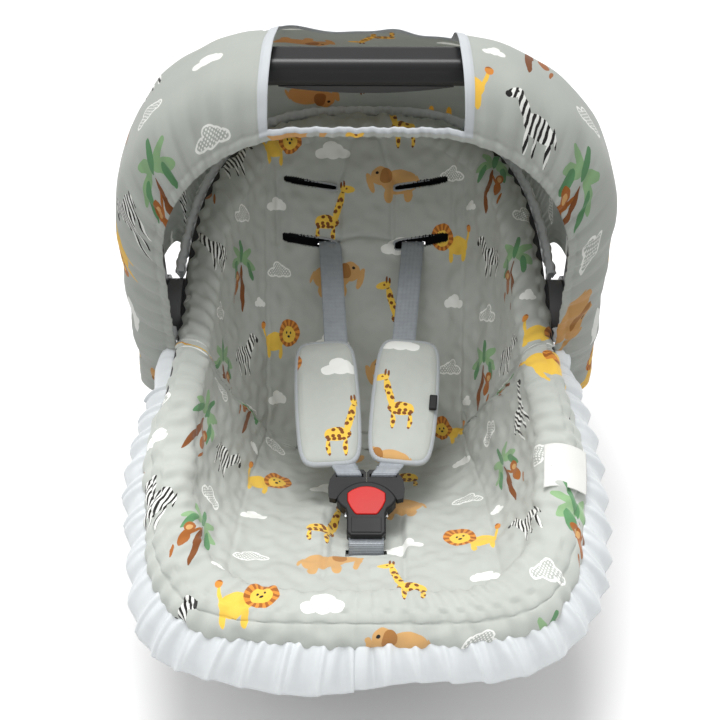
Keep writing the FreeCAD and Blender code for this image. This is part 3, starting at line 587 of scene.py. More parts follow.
def build_liner():
    NC = 960
    a, per = rim_angles(NC)
    T = 28.0
    z0 = curves(T)[6]
    xr, yr, zr = rim_point(a, T)
    NR = 250
    g = (np.linspace(0, 1, NR)) ** 1.2
    rows, uvs = [], []
    inner = moved_in(PROFILE, T)
    seg = np.concatenate([[0], np.cumsum(np.linalg.norm(np.diff(inner, axis=0), axis=1))])
    s0 = seg[int(np.abs(inner[:, 0] + 40).argmin())]

    def unroll(x, y, z):
        q = np.stack([y, z], -1)
        d2 = ((q[:, None, :] - inner[None, ::3, :]) ** 2).sum(-1)
        i = d2.argmin(1) * 3
        h = np.sqrt(d2.min(1))
        h = np.maximum(h - 3, 0)
        return np.sign(x) * (np.abs(x) + h), seg[i]

    for r in range(NR):
        z = z0 + 1.0 + (zr - z0 - 1.0) * g[r]
        x, y = tub_xy(a, z, T)
        U, V = unroll(x, y, z)
        if r == 0:
            yc = np.full_like(y, y.mean())
            rows.append(np.stack([x * 0.98, yc, z - 0.6], -1)); uvs.append(np.stack([U, V], -1))
        rows.append(np.stack([x, y, z], -1)); uvs.append(np.stack([U, V], -1))
    # over the rim and down its outside
    xi, yi, zi = xr, yr, zr
    xo, yo = tub_xy(a, zr, -7.0)
    nx, ny = xo - xi, yo - yi
    L = np.hypot(nx, ny); nx, ny = nx / L, ny / L
    U0, V0 = uvs[-1][:, 0], uvs[-1][:, 1]
    foot, front = smoothstep(-230, -335, yr), smoothstep(-70, -190, yr)
    run = 0.0
    NB = 22
    for k in range(1, NB + 1):
        ph = math.pi * k / NB
        f = (1 - math.cos(ph)) / 2
        h = (12.5 - 5.5 * foot) * math.sin(ph)
        run = L * f + h * 0.4
        rows.append(np.stack([xi + nx * L * f, yi + ny * L * f, zi + h], -1))
        uvs.append(np.stack([U0 + nx * run, V0 + ny * run], -1))
    drop, flare = edge_of(yr)
    for k in range(1, 17):
        f = k / 16
        g = f ** (1.0 + 0.5 * front)
        out = flare * math.sin(f * math.pi / 2)
        rows.append(np.stack([xo + nx * out, yo + ny * out, zi - drop * g], -1))
        rr = run + np.hypot(drop * g, out)
        uvs.append(np.stack([U0 + nx * rr, V0 + ny * rr], -1))
    # turned under, so that the edge reads as a padded hem
    for k in range(1, 6):
        q = k / 5
        rows.append(np.stack([xo + nx * (flare - 5 * q), yo + ny * (flare - 5 * q), zi - drop - 5 * math.sin(q * math.pi / 2)], -1))
        uvs.append(np.stack([U0 + nx * (rr + 6 * q), V0 + ny * (rr + 6 * q)], -1))
    P, UV = np.array(rows), np.array(uvs)
    # smooth the unrolled coordinates along the rows so the print has no steps
    for _ in range(9):
        UV[1:-1] = (UV[:-2] + 2 * UV[1:-1] + UV[2:]) / 4
        UV = (np.roll(UV, 1, 1) + 2 * UV + np.roll(UV, -1, 1)) / 4
    n = grid_normals(P, True)
    c = np.array([0, -40, 380.0]) - P
    n *= np.sign((n * c).sum(-1, keepdims=True).mean(1, keepdims=True))
    # keep the normals pointing off the padding
    X, Y, Z = P[..., 0], P[..., 1], P[..., 2]
    U, V = UV[..., 0], UV[..., 1] - s0
    inside = np.zeros(P.shape[:2]); inside[:NR + 1] = 1
    # height of the padding: soft quilting and wrinkles
    d = 1.6 * wob(U, V, 70, 1) + 0.9 * wob(U, V, 26, 2)
    d += 0.5 * wob(U * 0.4, V, 12, 3)
    # along the back, position measured up the backrest from the bight
    up = (Y + 40) * c45 + (Z - 120) * c45
    nb = np.abs((Y + 40) * -c45 + (Z - 120) * c45)
    back = ((nb < 26) & (Y > -30)) * inside
    su_l, su_u = 163 * c45 * 2, 209 * c45 * 2
    def groove(dist, w, depth):
        return -depth * np.exp(-(dist / w) ** 2)
    for sx in (-1, 1):
        for xe in (30.0, 98.0):
            dist = np.abs(X - sx * xe)
            win = smoothstep(su_l - 10, su_l, up) * (1 - smoothstep(su_u + 2, su_u + 14, up))
            d += back * win * groove(dist, 3.0, 2.6)
        # column lines running on up to the head
        xc = sx * (30 - 16 * np.clip((up - su_u) / 60, 0, 1))
        win = smoothstep(su_u, su_u + 6, up)
        d += back * win * groove(np.abs(X - xc), 2.6, 2.0)
    # fold between the lower slots
    arch = su_l + 6 * (1 - (X / 34) ** 2)
    d += back * (np.abs(X) < 34) * (groove(np.abs(up - arch), 3.0, 3.0) + 2.2 * np.exp(-((up - arch + 9) / 7) ** 2))
    # puffs between the stitch lines
    d += back * 3.0 * np.clip(np.cos((np.abs(X) - 64) / 34 * math.pi / 2), 0, 1) * smoothstep(su_l + 8, su_l + 24, up) * (1 - smoothstep(su_u - 24, su_u - 8, up))
    d += back * 2.5 * np.clip(np.cos(X / 30 * math.pi / 2), 0, 1) * (np.abs(X) < 30)
    # rows of quilting over the sides and the pan
    side = inside * smoothstep(120, 140, np.abs(U))
    d += side * groove(np.abs(np.abs(U) - 128), 3.5, 3.0)
    pan = inside * (Y < -60)
    d += pan * groove(np.abs(np.abs(X) - 38), 3.0, 2.4) * smoothstep(-300, -290, Y) * (1 - smoothstep(-180, -165, Y))
    # bight
    d += inside * groove(np.abs(Y + 45) + 0 * Z, 9.0, 3.0) * (np.abs(U) < 150) * (Z < 170)
    # roll: gathered where the ruffle is sewn on
    roll = 1 - inside
    al = np.arange(NC)[None, :] * per / NC
    d += roll * 1.1 * np.sin(al * 2 * math.pi / 17.0 + 2.0 * np.sin(al / 41.0))
    # the pocket round the buckle
    bx = np.abs(X - 2) < 34
    pk = inside * smoothstep(40, 33, np.abs(X - 2)) * smoothstep(-262, -252, Y) * (1 - smoothstep(-200, -186, Y)) * (Y < -150)
    d -= 8.5 * pk
    d = np.clip(d, -10, 6.5)
    Pf = P.copy()
    # slot openings: these faces get the near-black material and sink 12 mm, painted shade in place of a through-hole
    black = np.zeros(P.shape[:2], bool)
    for sx in (-1, 1):
        for sl, hh, tilt in ((SLOT, 5.0, 0.15), (np.array([0, 169.0, 329.0]), 2.8, 0.15)):
            q = Pf - sl - np.array([sx * 64.0, 0, 0])
            v = q @ BACK_U - sx * tilt * q[..., 0]
            inb = (np.abs(q[..., 0]) < 30) & (np.abs(v) < hh * (1 - 0.35 * (q[..., 0] / 30) ** 2)) & (np.abs(q @ BACK_N) < 12)
            black |= inb
    d = np.where(black, -12.0, d)
    P = P + n * d[..., None]
    faces = grid_faces(P.shape[0], NC, True)
    C = Pf.reshape(-1, 3)[faces].mean(1)
    keep = np.ones(len(faces), bool)
    mi = black.reshape(-1)[faces].any(1).astype(int)
    for sx, nm in ((-1, "left"), (1, "right")):
        q = C - SLOT - np.array([STRAPS[nm][0], 0, 0])
        keep &= ~((np.abs(q[:, 0]) < 12.0) & (np.abs(q @ BACK_U + 1.2) < 1.6) & (np.abs(q @ BACK_N) < 12))
    cr = np.array([2.0, -240.5, 204.0])
    q = C - cr
    keep &= ~((np.abs(q[:, 0]) < 20.5) & (np.abs(q @ PAN_U) < 4.2) & (np.abs(q @ PAN_N) < 14))
    ob = make("liner_cover", R(P.reshape(-1, 3)), faces[keep], UV.reshape(-1, 2) / 1000.0, [M_LINER, M_SLOT_SHADE], mi[keep], body="seat")
    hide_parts("seat_liner")
    return ob


# ------------------------------------------------------------------ bound slot edges
def slot_ring(name, centre, ux, uy, un, w, h, band=2.6, lift=0.2, thick=1.8, mat=None):
    """A raised binding round a slot: an oval band."""
    n, m = 120, 9
    th = np.linspace(0, 2 * np.pi, n, endpoint=False)
    def oval(a, b, e=5.0):
        c, s = np.cos(th), np.sin(th)
        return np.sign(c) * np.abs(c) ** (2 / e) * a, np.sign(s) * np.abs(s) ** (2 / e) * b
    rows = []
    for k in range(m):
        f = k / (m - 1)
        x, y = oval(w / 2 + band * f, h / 2 + band * f)
        z = lift + thick * math.sin(math.pi * f) - (2.5 if k in (0,) else 0)
        z = z + 0.25 * np.sin(th * 40)
        rows.append(centre + x[:, None] * ux + y[:, None] * uy + np.outer(np.full(n, 1.0) * z, un))
    P = np.array(rows)
    L = np.arange(n) / n * 2 * (w + h) / 1000
    UV = np.stack([np.tile(L, (m, 1)), np.repeat(np.linspace(0, band / 1000, m)[:, None], n, 1)], -1)
    ob = make(name, R(P.reshape(-1, 3)), grid_faces(m, n, True), UV.reshape(-1, 2), [mat or M_TAPE], body="seat")
    return ob


# ------------------------------------------------------------------ ruffle
def build_ruffle():
    NC, NR = 2600, 15
    a, per = rim_angles(NC)
    xr, yr, zr = rim_point(a, 28.0)
    xo, yo = tub_xy(a, zr, -7.0)
    nx, ny = xo - xr, yo - yr
    L = np.hypot(nx, ny); nx, ny = nx / L, ny / L
    drop, flare = edge_of(yr)
    xs, ys, zs = xo + nx * flare, yo + ny * flare, zr - drop
    al = np.arange(NC) * per / NC
    front = smoothstep(-30, -95, ys)
    foot = smoothstep(-250, -345, ys)
    # pleats: uneven spacing
    ph = al / 24.5 * 2 * math.pi + 1.5 * np.sin(al / 63.0) + 1.0 * np.sin(al / 29.0 + 1)
    ph2 = al / 9.7 * 2 * math.pi + 1.2 * np.sin(al / 37.0)
    rows = []
    size = 1 + 0.12 * np.sin(al / 55.0) + 0.08 * np.sin(al / 21.0 + 2)
    for k in range(NR):
        f = k / (NR - 1)
        out_f = -3 + 27 * math.sin(f * 1.25) / math.sin(1.25) * size
        dn_f = -3 + (30 + 4 * foot) * f ** 1.3 * size
        side_b = 1 - smoothstep(140, 215, ys)
        out_b = 2.0 + (7.0 + 5.0 * side_b) * math.sin(f * math.pi * 0.8)
        dn_b = -13 * math.sin(f * math.pi) - 11 + (10 + 16 * side_b) * f
        out = out_f * front + (1 - front) * out_b
        dn = dn_f * front + (1 - front) * dn_b
        amp = (0.6 + 6.4 * f ** 0.8) * (0.35 + 0.65 * front)
        wave = amp * (np.sin(ph) * 0.75 + 0.25 * np.sin(2 * ph + 1.0)) + (0.5 + 1.1 * (1 - f)) * np.sin(ph2)
        wav_t = 0.45 * amp * np.cos(ph)
        tx, ty = -ny, nx
        # the wave stands across the frill, which slopes outward and down
        o = out + wave * (0.6 * (1 - front) + 0.45 * front)
        x = xs + nx * o + tx * wav_t
        y = ys + ny * o + ty * wav_t
        z = zs - dn + front * wave * 0.75
        rows.append(np.stack([x, y, z], -1))
    P = np.array(rows)
    # the side under the handle hubs stays inside the arms
    lim = 203.0 + 200 * smoothstep(-52, -75, P[..., 1])
    P[..., 0] = np.clip(P[..., 0], -lim, lim)
    UV = np.stack([np.tile(al, (NR, 1)) * 1.5, np.repeat(np.linspace(0, 65, NR)[:, None], NC, 1)], -1) / 1000
    faces = grid_faces(NR, NC, True)
    C = P.reshape(-1, 3)[faces].mean(1)
    # open round the handle's hubs
    faces = faces[np.hypot(C[:, 1], C[:, 2] - 290.0) > 40.0]
    ob = make("ruffle_frill", R(P.reshape(-1, 3)), faces, UV.reshape(-1, 2), [M_SATIN], body="seat")
    A = area(ob)
    wide = float(np.linalg.norm(np.diff(P, axis=0), axis=-1).sum(0).mean()) / 1000
    solidify(ob, 0.0007)
    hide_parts("ruffle")
    return ob, (per, A, wide)


# ------------------------------------------------------------------ hood
HOOD = [
    ((-60, 548), (-62, 226), 194.0, 142.0), ((-55, 569), (-54, 222), 220.0, 156.0), ((-36, 592), (-38, 221), 239.0, 168.0),
    ((0, 604), (-10, 226), 240.0, 172.0), ((30, 599), (15, 236), 240.0, 172.0), ((58, 582), (35, 248), 239.0, 170.0),
    ((100, 549), (48, 255), 237.0, 162.0), ((150, 508), (66, 266), 234.0, 152.0), ((200, 464), (88, 277), 229.0, 142.0),
    ((240, 424), (107, 284), 222.0, 130.0), ((264, 386), (119, 286), 213.0, 116.0), ((258, 346), (120, 274), 204.0, 100.0),
    ((238, 318), (114, 258), 196.0, 92.0),
]


def hood_rows(per):
    flat = np.array([[*r[0], *r[1], r[2], r[3]] for r in HOOD])
    res = []
    for i in range(len(flat) - 1):
        p0, p1, p2, p3 = flat[max(0, i - 1)], flat[i], flat[i + 1], flat[min(len(flat) - 1, i + 2)]
        for k in range(per):
            t = k / per
            res.append(0.5 * (2 * p1 + (p2 - p0) * t + (2 * p0 - 5 * p1 + 4 * p2 - p3) * t * t + (3 * p1 - p0 - 3 * p2 + p3) * t ** 3))
    res.append(flat[-1])
    return np.array(res)


def arch_pts(row, n, j0, inset=1.5):
    ty, tz, oy, oz, A, rc = row
    h = math.hypot(ty - oy, tz - oz)
    uy, uz = (ty - oy) / h, (tz - oz) / h
    A, h2 = A - inset, h - inset
    r = min(rc - inset * 0.6, h2 * 0.85)
    s1, s2, s3 = h2 - r, math.pi / 2 * r, A - r
    total = 2 * (s1 + s2 + s3)
    # the columns next to the window keep to its sides
    half = 86.0 - 8.0 * np.clip((ty + 60) / 115, 0, 1) + 40.0 * np.clip((ty - 60) / 200, 0, 1)
    s = np.interp(np.arange(n), [0, j0, n - 1 - j0, n - 1], [0, total / 2 - half, total / 2 + half, total])
    m = np.minimum(s, total - s)
    an = (m - s1) / r
    x = np.where(m < s1, A, np.where(m < s1 + s2, A - r + r * np.cos(an), A - r - (m - s1 - s2)))
    v = np.where(m < s1, m, np.where(m < s1 + s2, h2 - r + r * np.sin(np.clip(an, 0, math.pi / 2)), h2))
    v2 = v + 3.0 * (1 - (x / A) ** 2) * (v / h2) ** 6
    x = np.where(s > total / 2, x, -x)
    return np.stack([x, oy + uy * v2, oz + uz * v2], -1), s - total / 2


def build_hood():
    PER, NU, J0 = 18, 601, 240
    rows = hood_rows(PER)
    P, SU = [], []
    for r in rows:
        p, s = arch_pts(r, NU, J0)
        P.append(p); SU.append(s)
    P, SU = np.array(P), np.array(SU)
    mid = NU // 2
    dv = np.linalg.norm(np.diff(P, axis=0), axis=-1)
    DV = np.concatenate([np.zeros((1, NU)), np.cumsum(dv, 0)])
    V = np.concatenate([[0], np.cumsum(dv[:, mid])])[:, None] + 0 * SU
    n = grid_normals(P)
    c = P - np.array([0, 60, 330.0])
    n *= np.sign((n * c).sum(-1, keepdims=True))
    n = (np.roll(n, 1, 1) + n + np.roll(n, -1, 1)); n[:, 0] = n[:, 1]; n[:, -1] = n[:, -2]
    n /= np.linalg.norm(n, axis=-1, keepdims=True)
    # distance round the front hem
    hem = np.concatenate([[0], np.cumsum(np.linalg.norm(np.diff(P[0], axis=0), axis=-1))])
    h = hem[None, :]
    phs = 2 * math.pi * h / 8.5 + 2.4 * np.sin(h / 47.0) + 1.7 * np.sin(h / 21.0 + 1.3)
    ph2 = 2 * math.pi * h / 21.0 + 2.0 * np.sin(h / 60.0 + 2.0)
    ph3 = 2 * math.pi * h / 52.0 + 1.6 * np.sin(h / 90.0)
    D = DV
    am = 0.7 + 0.3 * np.sin(h / 33.0)
    d = 1.25 * np.sin(phs) * am * np.exp(-D / 26.0)
    d += 1.5 * np.sin(ph2) * np.exp(-((D - 18) / 30.0) ** 2)
    d += 1.8 * np.sin(ph3 + D * 0.006) * smoothstep(5, 40, D) * np.exp(-D / 130.0)
    d += 1.3 * wob(SU, V, 150, 11) * smoothstep(20, 90, D) + 0.5 * wob(SU, V, 45, 12) * smoothstep(10, 60, D)
    # casing of the elastic, and its stitch line
    d += 1.4 * np.exp(-((D - 4.5) / 4.0) ** 2) - 1.0 * np.exp(-((D - 10.0) / 1.6) ** 2)
    # tucks towards the back hem
    Db = DV[-1][None, :] - DV
    d += 1.6 * np.sin(ph2 * 1.3) * np.exp(-Db / 30.0)
    # the cloth is drawn smooth over the handle
    over = np.exp(-((P[..., 1]) / 30.0) ** 2) * (P[..., 2] > 320)
    d *= 1 - 0.75 * over
    d = np.clip(d, -2.5 + 2.3 * over, 4.0)
    P = P + n * d[..., None]
    # window in the top
    x, y, z = P[..., 0], P[..., 1], P[..., 2]
    top = z > 500
    i0 = int(np.abs(DV[:, mid] - 9.0).argmin())
    i1 = int(np.abs(P[:, mid, 1] - 55.0).argmin())
    j0, j1 = J0, NU - 1 - J0
    # the same columns all the way, so the window's sides follow the cloth
    faces = grid_faces(P.shape[0], NU)
    fi, fj = np.divmod(np.arange(len(faces)), NU - 1)
    hole = (fi >= i0) & (fi < i1) & (fj >= j0) & (fj < j1)
    bu = 5
    bi = 4
    band = (fi >= i0 - bi) & (fi < i1 + bi) & (fj >= j0 - bu) & (fj < j1 + bu) & ~hole
    ii, jj = np.mgrid[0:P.shape[0], 0:NU]
    vb = (ii >= i0 - bi + 0) & (ii <= i1 + bi) & (jj >= j0 - bu) & (jj <= j1 + bu)
    edge = (ii == i0 - bi) | (ii == i1 + bi) | (jj == j0 - bu) | (jj == j1 + bu)
    lift = np.where(vb & ~edge, 1.1, 0.0) + np.where(vb & edge, -0.2, 0.0)
    P = P + n * lift[..., None]
    # a wavy, slightly sagging back edge
    sag = np.exp(-((ii - i1) / 9.0) ** 2) * (np.abs(P[..., 0]) < 95) * top
    P[..., 2] += sag * (2.2 * np.sin(P[..., 0] / 15.0) - 1.5)
    P[..., 2] -= 0.05 * P[..., 0] * smoothstep(18, 50, P[..., 1]) * smoothstep(480, 560, P[..., 2]) 
    mi = band.astype(int)
    UV = np.stack([SU + 30, V + 60], -1) / 1000
    ob = make("hood_canopy", R(P.reshape(-1, 3)), faces[~hole], UV.reshape(-1, 2), [M_HOOD, M_TAPE], mi[~hole])
    A = area(ob)
    solidify(ob, 0.0008)
    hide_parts("hood")
    tuple(R([0, 235, 385]))
    tuple(R([0, 45, 545]))
    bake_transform(ob)
    return ob, A


# ------------------------------------------------------------------ webbing
def strap(name, pts, width, thick, wdir, body=None, mat=None, rowsx=13, start_v=0.0):
    """Closed flat strip along points; wdir is its width direction at each point."""
    pts = np.asarray(pts, float)
    n = len(pts)
    wdir = np.asarray(wdir, float)
    if wdir.ndim == 1:
        wdir = np.tile(wdir, (n, 1))
    tan = np.gradient(pts, axis=0)
    tan /= np.linalg.norm(tan, axis=1, keepdims=True)
    nor = np.cross(wdir, tan)
    nor /= np.linalg.norm(nor, axis=1, keepdims=True)
    s = np.concatenate([[0], np.cumsum(np.linalg.norm(np.diff(pts, axis=0), axis=1))]) + start_v
    ring = []
    k = rowsx
    for i in range(k):
        f = -1 + 2 * i / (k - 1)
        ring.append((f * width / 2, thick / 2 * (1 - 0.35 * abs(f) ** 8)))
    for i in range(k - 1, -1, -1):
        f = -1 + 2 * i / (k - 1)
        ring.append((f * width / 2, -thick / 2 * (1 - 0.35 * abs(f) ** 8)))
    ring = np.array(ring)
    P = pts[:, None, :] + ring[None, :, 0:1] * wdir[:, None, :] + ring[None, :, 1:2] * nor[:, None, :]
    UV = np.stack([np.tile(ring[:, 0], (n, 1)), np.repeat(s[:, None], len(ring), 1)], -1) / 1000
    i = np.arange(k - 1)
    cap = np.stack([i, i + 1, 2 * k - 2 - i, 2 * k - 1 - i], -1)
    faces = np.concatenate([grid_faces(n, len(ring), True), cap, cap[:, ::-1] + (n - 1) * len(ring)])
    ob = make(name, R(P.reshape(-1, 3)), faces, UV.reshape(-1, 2), [mat or M_WEB], body=body)
    return ob, s[-1] - s[0]


def dense(points, step=2.0, radius=5.0):
    """Route through 3D points with softened corners."""
    p = np.asarray(points, float)
    out = [p[0]]
    for i in range(1, len(p) - 1):
        a, b, c = p[i - 1], p[i], p[i + 1]
        r = min(radius, np.linalg.norm(a - b) / 2.2, np.linalg.norm(c - b) / 2.2)
        s, e = b + (a - b) / np.linalg.norm(a - b) * r, b + (c - b) / np.linalg.norm(c - b) * r
        for t in np.linspace(0, 1, 7):
            out.append((1 - t) ** 2 * s + 2 * t * (1 - t) * b + t * t * e)
    out.append(p[-1])
    q = np.array(out)
    s = np.concatenate([[0], np.cumsum(np.linalg.norm(np.diff(q, axis=0), axis=1))])
    m = int(s[-1] / step) + 2
    t = np.linspace(0, s[-1], m)
    return np.stack([np.interp(t, s, q[:, i]) for i in range(3)], 1)


def build_straps():
    for side, (x0, x1) in STRAPS.items():
        sg = -1 if side == "left" else 1
        bp = SLOT - BACK_N * 31.6
        route = [bp - BACK_U * 60, bp - BACK_U * 6, SLOT - BACK_N * 22, SLOT - BACK_N * 2.0 - BACK_U * 0.5, on_line(7, 0, 0.6), on_line(40), on_line(150), on_line(286)]
        xs = [x0, x0, x0, x0, x0 + (x1 - x0) * 7 / 292, x0 + (x1 - x0) * 40 / 292, x0 + (x1 - x0) * 150 / 292, x0 + (x1 - x0) * 286 / 292]
        pts = [np.array([x, q[1], q[2]]) for x, q in zip(xs, route)]
        # round the tongue's bar and back under the strap
        tx = 2 + sg * 16.7
        for l, nn, f in ((293.5, 4.2, 0.55), (298.2, 4.6, 0.9), (299.4, 0.0, 1.0), (297.8, -4.4, 1.0), (291.0, -4.6, 0.6), (284.0, -3.2, 0.2)):
            q = on_line(l, 0, nn)
            pts.append(np.array([x1 + (tx - x1) * f, q[1], q[2]]))
        q = dense(pts, 2.0, 5.0)
        ob, ln = strap("strap_" + side, q, 25.0, 1.6, np.array([1.0, 0, 0]))
        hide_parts("shoulder_strap_" + side)
        tuple(R(on_line(8, x0)))
        tuple(R(on_line(270, x1)))
        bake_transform(ob)
    c = np.array([2.0, -240.5, 204.0])
    route = [on_line(357, 2.0), on_line(366, 2.0), c + PAN_N * 0.5 + np.array([0, 0, 0]), c - PAN_N * 12, c - PAN_N * 36]
    q = dense(route, 2.0, 4.0)
    ob, ln = strap("strap_crotch", q, 34.0, 1.8, np.array([1.0, 0, 0]), body="seat")
    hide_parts("crotch_strap")


# ------------------------------------------------------------------ shoulder pads
PADS = {"left": (66.0, -12.4, 212.0, 150.0), "right": (68.0, 6.8, 210.0, 150.0)}


def build_pads():
    for side, (w, dx, lm, plen) in PADS.items():
        x0, x1 = STRAPS[side]
        p0, p1 = on_line(1.0, x0), on_line(292.0, x1)
        d = (p1 - p0) / np.linalg.norm(p1 - p0)
        mid = p0 + d * (lm - 1.0)
        ex = np.cross(d, LINE_N); ex /= np.linalg.norm(ex)
        if ex[0] < 0:
            ex = -ex
        up = -d
        body = "pad_l" if side == "left" else "pad_r"
        sg = -1 if side == "left" else 1
        # outline: rounded rectangle, a little waisted where it is folded over the webbing
        nphi, nr = 320, 26
        th = np.linspace(0, 2 * np.pi, nphi, endpoint=False)
        e = 6.0
        cx, cy = np.cos(th), np.sin(th)
        ox = np.sign(cx) * np.abs(cx) ** (2 / e) * (w / 2 - 2.5)
        oy = np.sign(cy) * np.abs(cy) ** (2 / e) * (plen / 2 - 2.5)
        ox = ox * (1 + 0.02 * np.cos(oy / 22.0))
        def layer(sign):
            rows, uv = [], []
            for k in range(nr):
                f = 1 - k / (nr - 1) * 0.999
                g = f
                x, y = ox * g, oy * g
                # distance to the edge sets the height: a crowned pad, tight at the binding
                de = (1 - f)
                hgt = 2.2 + 5.2 * min(1.0, (de * 5.0)) ** 0.5 if f < 1 else 2.0
                z = np.full(nphi, hgt)
                z = z + (de > 0.02) * (0.7 * wob(x, y, 38, 5 + sg) + 0.35 * wob(x, y, 14, 9 + sg)) * min(1, de * 6)
                rows.append(mid + np.outer(x + dx, ex) + np.outer(y, up) + np.outer(z * sign, LINE_N))
                uv.append(np.stack([x + dx + sg * 40, y + 40 * sg], -1))
            return np.array(rows), np.array(uv)
        Pt, Ut = layer(1)
        Pb, Ub = layer(-1)
        ft = grid_faces(nr, nphi, True)
        fb = grid_faces(nr, nphi, True)[:, ::-1] + nr * nphi
        i = np.arange(nphi)
        rim = np.stack([i, (i + 1) % nphi, nr * nphi + (i + 1) % nphi, nr * nphi + i], -1)[:, ::-1]
        P = np.concatenate([Pt.reshape(-1, 3), Pb.reshape(-1, 3)])
        U = np.concatenate([Ut.reshape(-1, 2), Ub.reshape(-1, 2)]) / 1000
        ob = make("pad_" + side, R(P), np.concatenate([ft, fb, rim]), U, [M_PAD], body=body)
        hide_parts("shoulder_pad_" + side)
        # bias binding round the edge: a folded tape with a stitch line
        m = 15
        rows = []
        prof = []
        for k in range(m):
            an = -math.pi * 0.92 + 2 * math.pi * 0.92 * k / (m - 1)
            prof.append((math.cos(an) * 3.4 + 0.3, math.sin(an) * 3.3))
        tx = np.roll(ox, -1) - np.roll(ox, 1); ty = np.roll(oy, -1) - np.roll(oy, 1)
        tl = np.hypot(tx, ty); nx, ny = ty / tl, -tx / tl
        per = np.concatenate([[0], np.cumsum(np.hypot(np.diff(ox), np.diff(oy)))])
        for a, b in prof:
            x, y = ox + nx * (a - 0.8), oy + ny * (a - 0.8)
            rip = 0.18 * np.sin(per * 2 * math.pi / 3.4) * (1 if abs(b) > 2 else 0)
            rows.append(mid + np.outer(x + dx, ex) + np.outer(y, up) + np.outer(b + np.sign(b) * rip, LINE_N))
        Pn = np.array(rows)
        UVn = np.stack([np.tile(per, (m, 1)), np.repeat(np.linspace(0, 18, m)[:, None], nphi, 1)], -1) / 1000
        bo = make("pad_binding_" + side, R(Pn.reshape(-1, 3)), grid_faces(m, nphi, True), UVn.reshape(-1, 2), [M_TAPE], body=body)


# ------------------------------------------------------------------ label
def build_label():
    n, m = 34, 36
    Ug, Vg = np.meshgrid(np.linspace(-21, 21, n), np.linspace(-22, 22, m))
    a = np.linspace(-1.5, 0, 400)
    xr, yr, zr = rim_point(a, 28.0)
    xo, yo = tub_xy(a, zr, -7.0)
    yy = -196.0 + Vg
    xm = np.interp(yy, (yr + yo) / 2, (xr + xo) / 2)
    x = xm + Ug + 8.0
    z = rim_z(yy) + 16.3 - (Ug + 8) ** 2 / 62.0 + 0.5 * np.sin(Vg / 7.0 + Ug / 9.0)
    P = np.stack([x, yy, z], -1)
    UV = np.stack([Ug, Vg], -1) / 1000
    ob = make("label_blank", R(P.reshape(-1, 3)), grid_faces(m, n), UV.reshape(-1, 2), [M_LABEL], body="seat")
    solidify(ob, 0.0006)
    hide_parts("side_label")


def build_coil(name, node, centre, axis, radius, wire, length, turns, body):
    """Coil spring with closed ends, standing on centre along axis."""
    axis = np.array(axis, float) / np.linalg.norm(axis)
    e1 = np.cross(axis, [0.3, 1.0, 0.2]); e1 /= np.linalg.norm(e1)
    e2 = np.cross(axis, e1)
    n, m = int(turns * 40), 10
    t = np.linspace(0, 1, n)
    th = 2 * math.pi * turns * t
    run = wire + (length - 2 * wire) * (0.08 * t + 0.92 * smoothstep(0.0, 1.0, t))
    mid = centre + np.outer(np.cos(th) * radius, e1) + np.outer(np.sin(th) * radius, e2) + np.outer(run, axis)
    tan = np.gradient(mid, axis=0); tan /= np.linalg.norm(tan, axis=1, keepdims=True)
    rad = np.outer(np.cos(th), e1) + np.outer(np.sin(th), e2)
    rad -= (rad * tan).sum(1, keepdims=True) * tan
    rad /= np.linalg.norm(rad, axis=1, keepdims=True)
    bi = np.cross(tan, rad)
    q = np.linspace(0, 2 * math.pi, m, endpoint=False)
    P = mid[:, None, :] + wire * (np.cos(q)[None, :, None] * rad[:, None, :] + np.sin(q)[None, :, None] * bi[:, None, :])
    UV = np.stack([np.tile(q * wire, (n, 1)), np.repeat((th * radius)[:, None], m, 1)], -1) / 1000
    # the two cut ends are closed with flat quads
    i = np.arange(m // 2 - 1)
    cap = np.stack([i, i + 1, m - 2 - i, m - 1 - i], -1)
    faces = np.concatenate([grid_faces(n, m, True), cap, cap[:, ::-1] + (n - 1) * m])
    ob = make(name, R(P.reshape(-1, 3)), faces, UV.reshape(-1, 2), [M_STEEL], body=body)
    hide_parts(node)
    tuple(R(centre))
    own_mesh(ob)


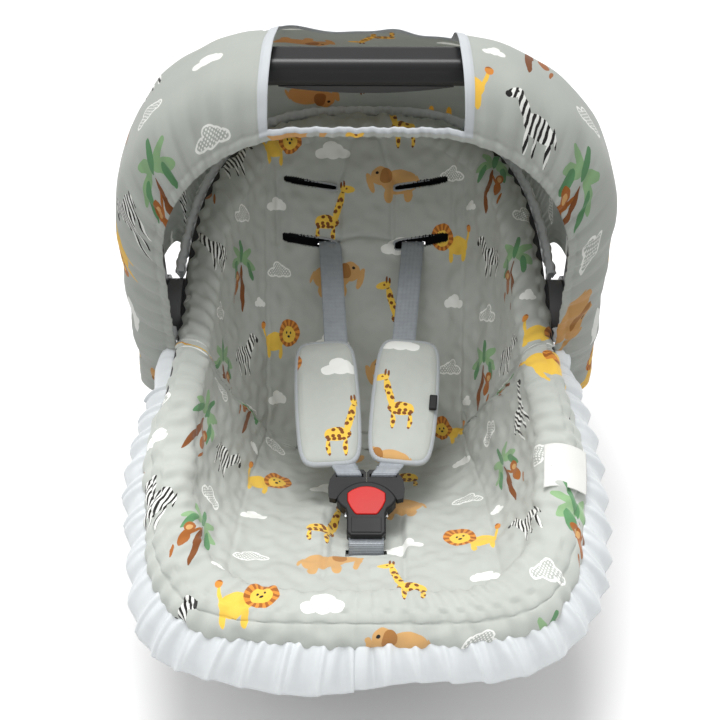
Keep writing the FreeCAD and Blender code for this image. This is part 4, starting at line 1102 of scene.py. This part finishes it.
for sx, nm in ((-1, "left"), (1, "right")):
    build_coil("coil_" + nm, "handle_spring_" + nm, np.array([sx * 194.1, 0, 290.0]), (sx, 0, 0), 8.0, 0.42, 6.2, 2.5, "handle")
BC = on_line(338.0, 2.0)
build_coil("coil_buckle", "buckle_spring", BC - LINE_U * 1.0 - LINE_N * 6.9, LINE_N, 2.9, 0.35, 10.0, 5.5, "seat")

liner = build_liner()
for sx, nm in ((-1, "left"), (1, "right")):
    ux = np.array([1.0, 0, 0]) + sx * 0.15 * BACK_U
    slot_ring("slot_low_" + nm, SLOT + np.array([sx * 64.0, 0, 0]), ux, BACK_U, BACK_N, 61, 9.4)
    slot_ring("slot_up_" + nm, np.array([sx * 64.0, 169.0, 329.0]), ux, BACK_U, BACK_N, 61, 5.0)
ruffle, (rim_len, ruffle_area, ruffle_wide) = build_ruffle()
hood, hood_area = build_hood()
build_straps()
build_pads()
build_label()

# ------------------------------------------------------------------ studio
me = bpy.data.meshes.new("floor")
sz = 6.0
me.from_pydata([(-sz, -sz, 0), (sz, -sz, 0), (sz, sz, 0), (-sz, sz, 0)], [], [(0, 1, 2, 3)])
floor = bpy.data.objects.new("floor", me)
bpy.context.scene.collection.objects.link(floor)
mf, tf, bf = material("floor_white", (0.93, 0.93, 0.93), 0.9, Specular_IOR_Level=0.1)
me.materials.append(mf)
w = bpy.data.worlds.new("world")
bpy.context.scene.world = w
w.use_nodes = True
w.node_tree.nodes["Background"].inputs[0].default_value = (1.0, 1.0, 1.0, 1)
w.node_tree.nodes["Background"].inputs[1].default_value = 0.72


def lamp(name, loc, target, size, power):
    l = bpy.data.lights.new(name, "AREA")
    l.shape = "DISK"
    l.size = size
    l.energy = power
    o = bpy.data.objects.new(name, l)
    o.location = loc
    o.rotation_euler = (Vector(target) - Vector(loc)).to_track_quat("-Z", "Y").to_euler()
    bpy.context.scene.collection.objects.link(o)


lamp("key", (-0.15, 0.42, 2.7), (0, -0.1, 0.3), 1.3, 60)
lamp("soft", (-0.9, -0.7, 2.6), (0, -0.1, 0.3), 1.8, 9)
lamp("fill", (1.3, -1.5, 1.8), (0, 0, 0.3), 1.8, 4)
sc = bpy.context.scene
sc.view_settings.view_transform = "Standard"
sc.view_settings.look = "None"
sc.view_settings.exposure = 0.0
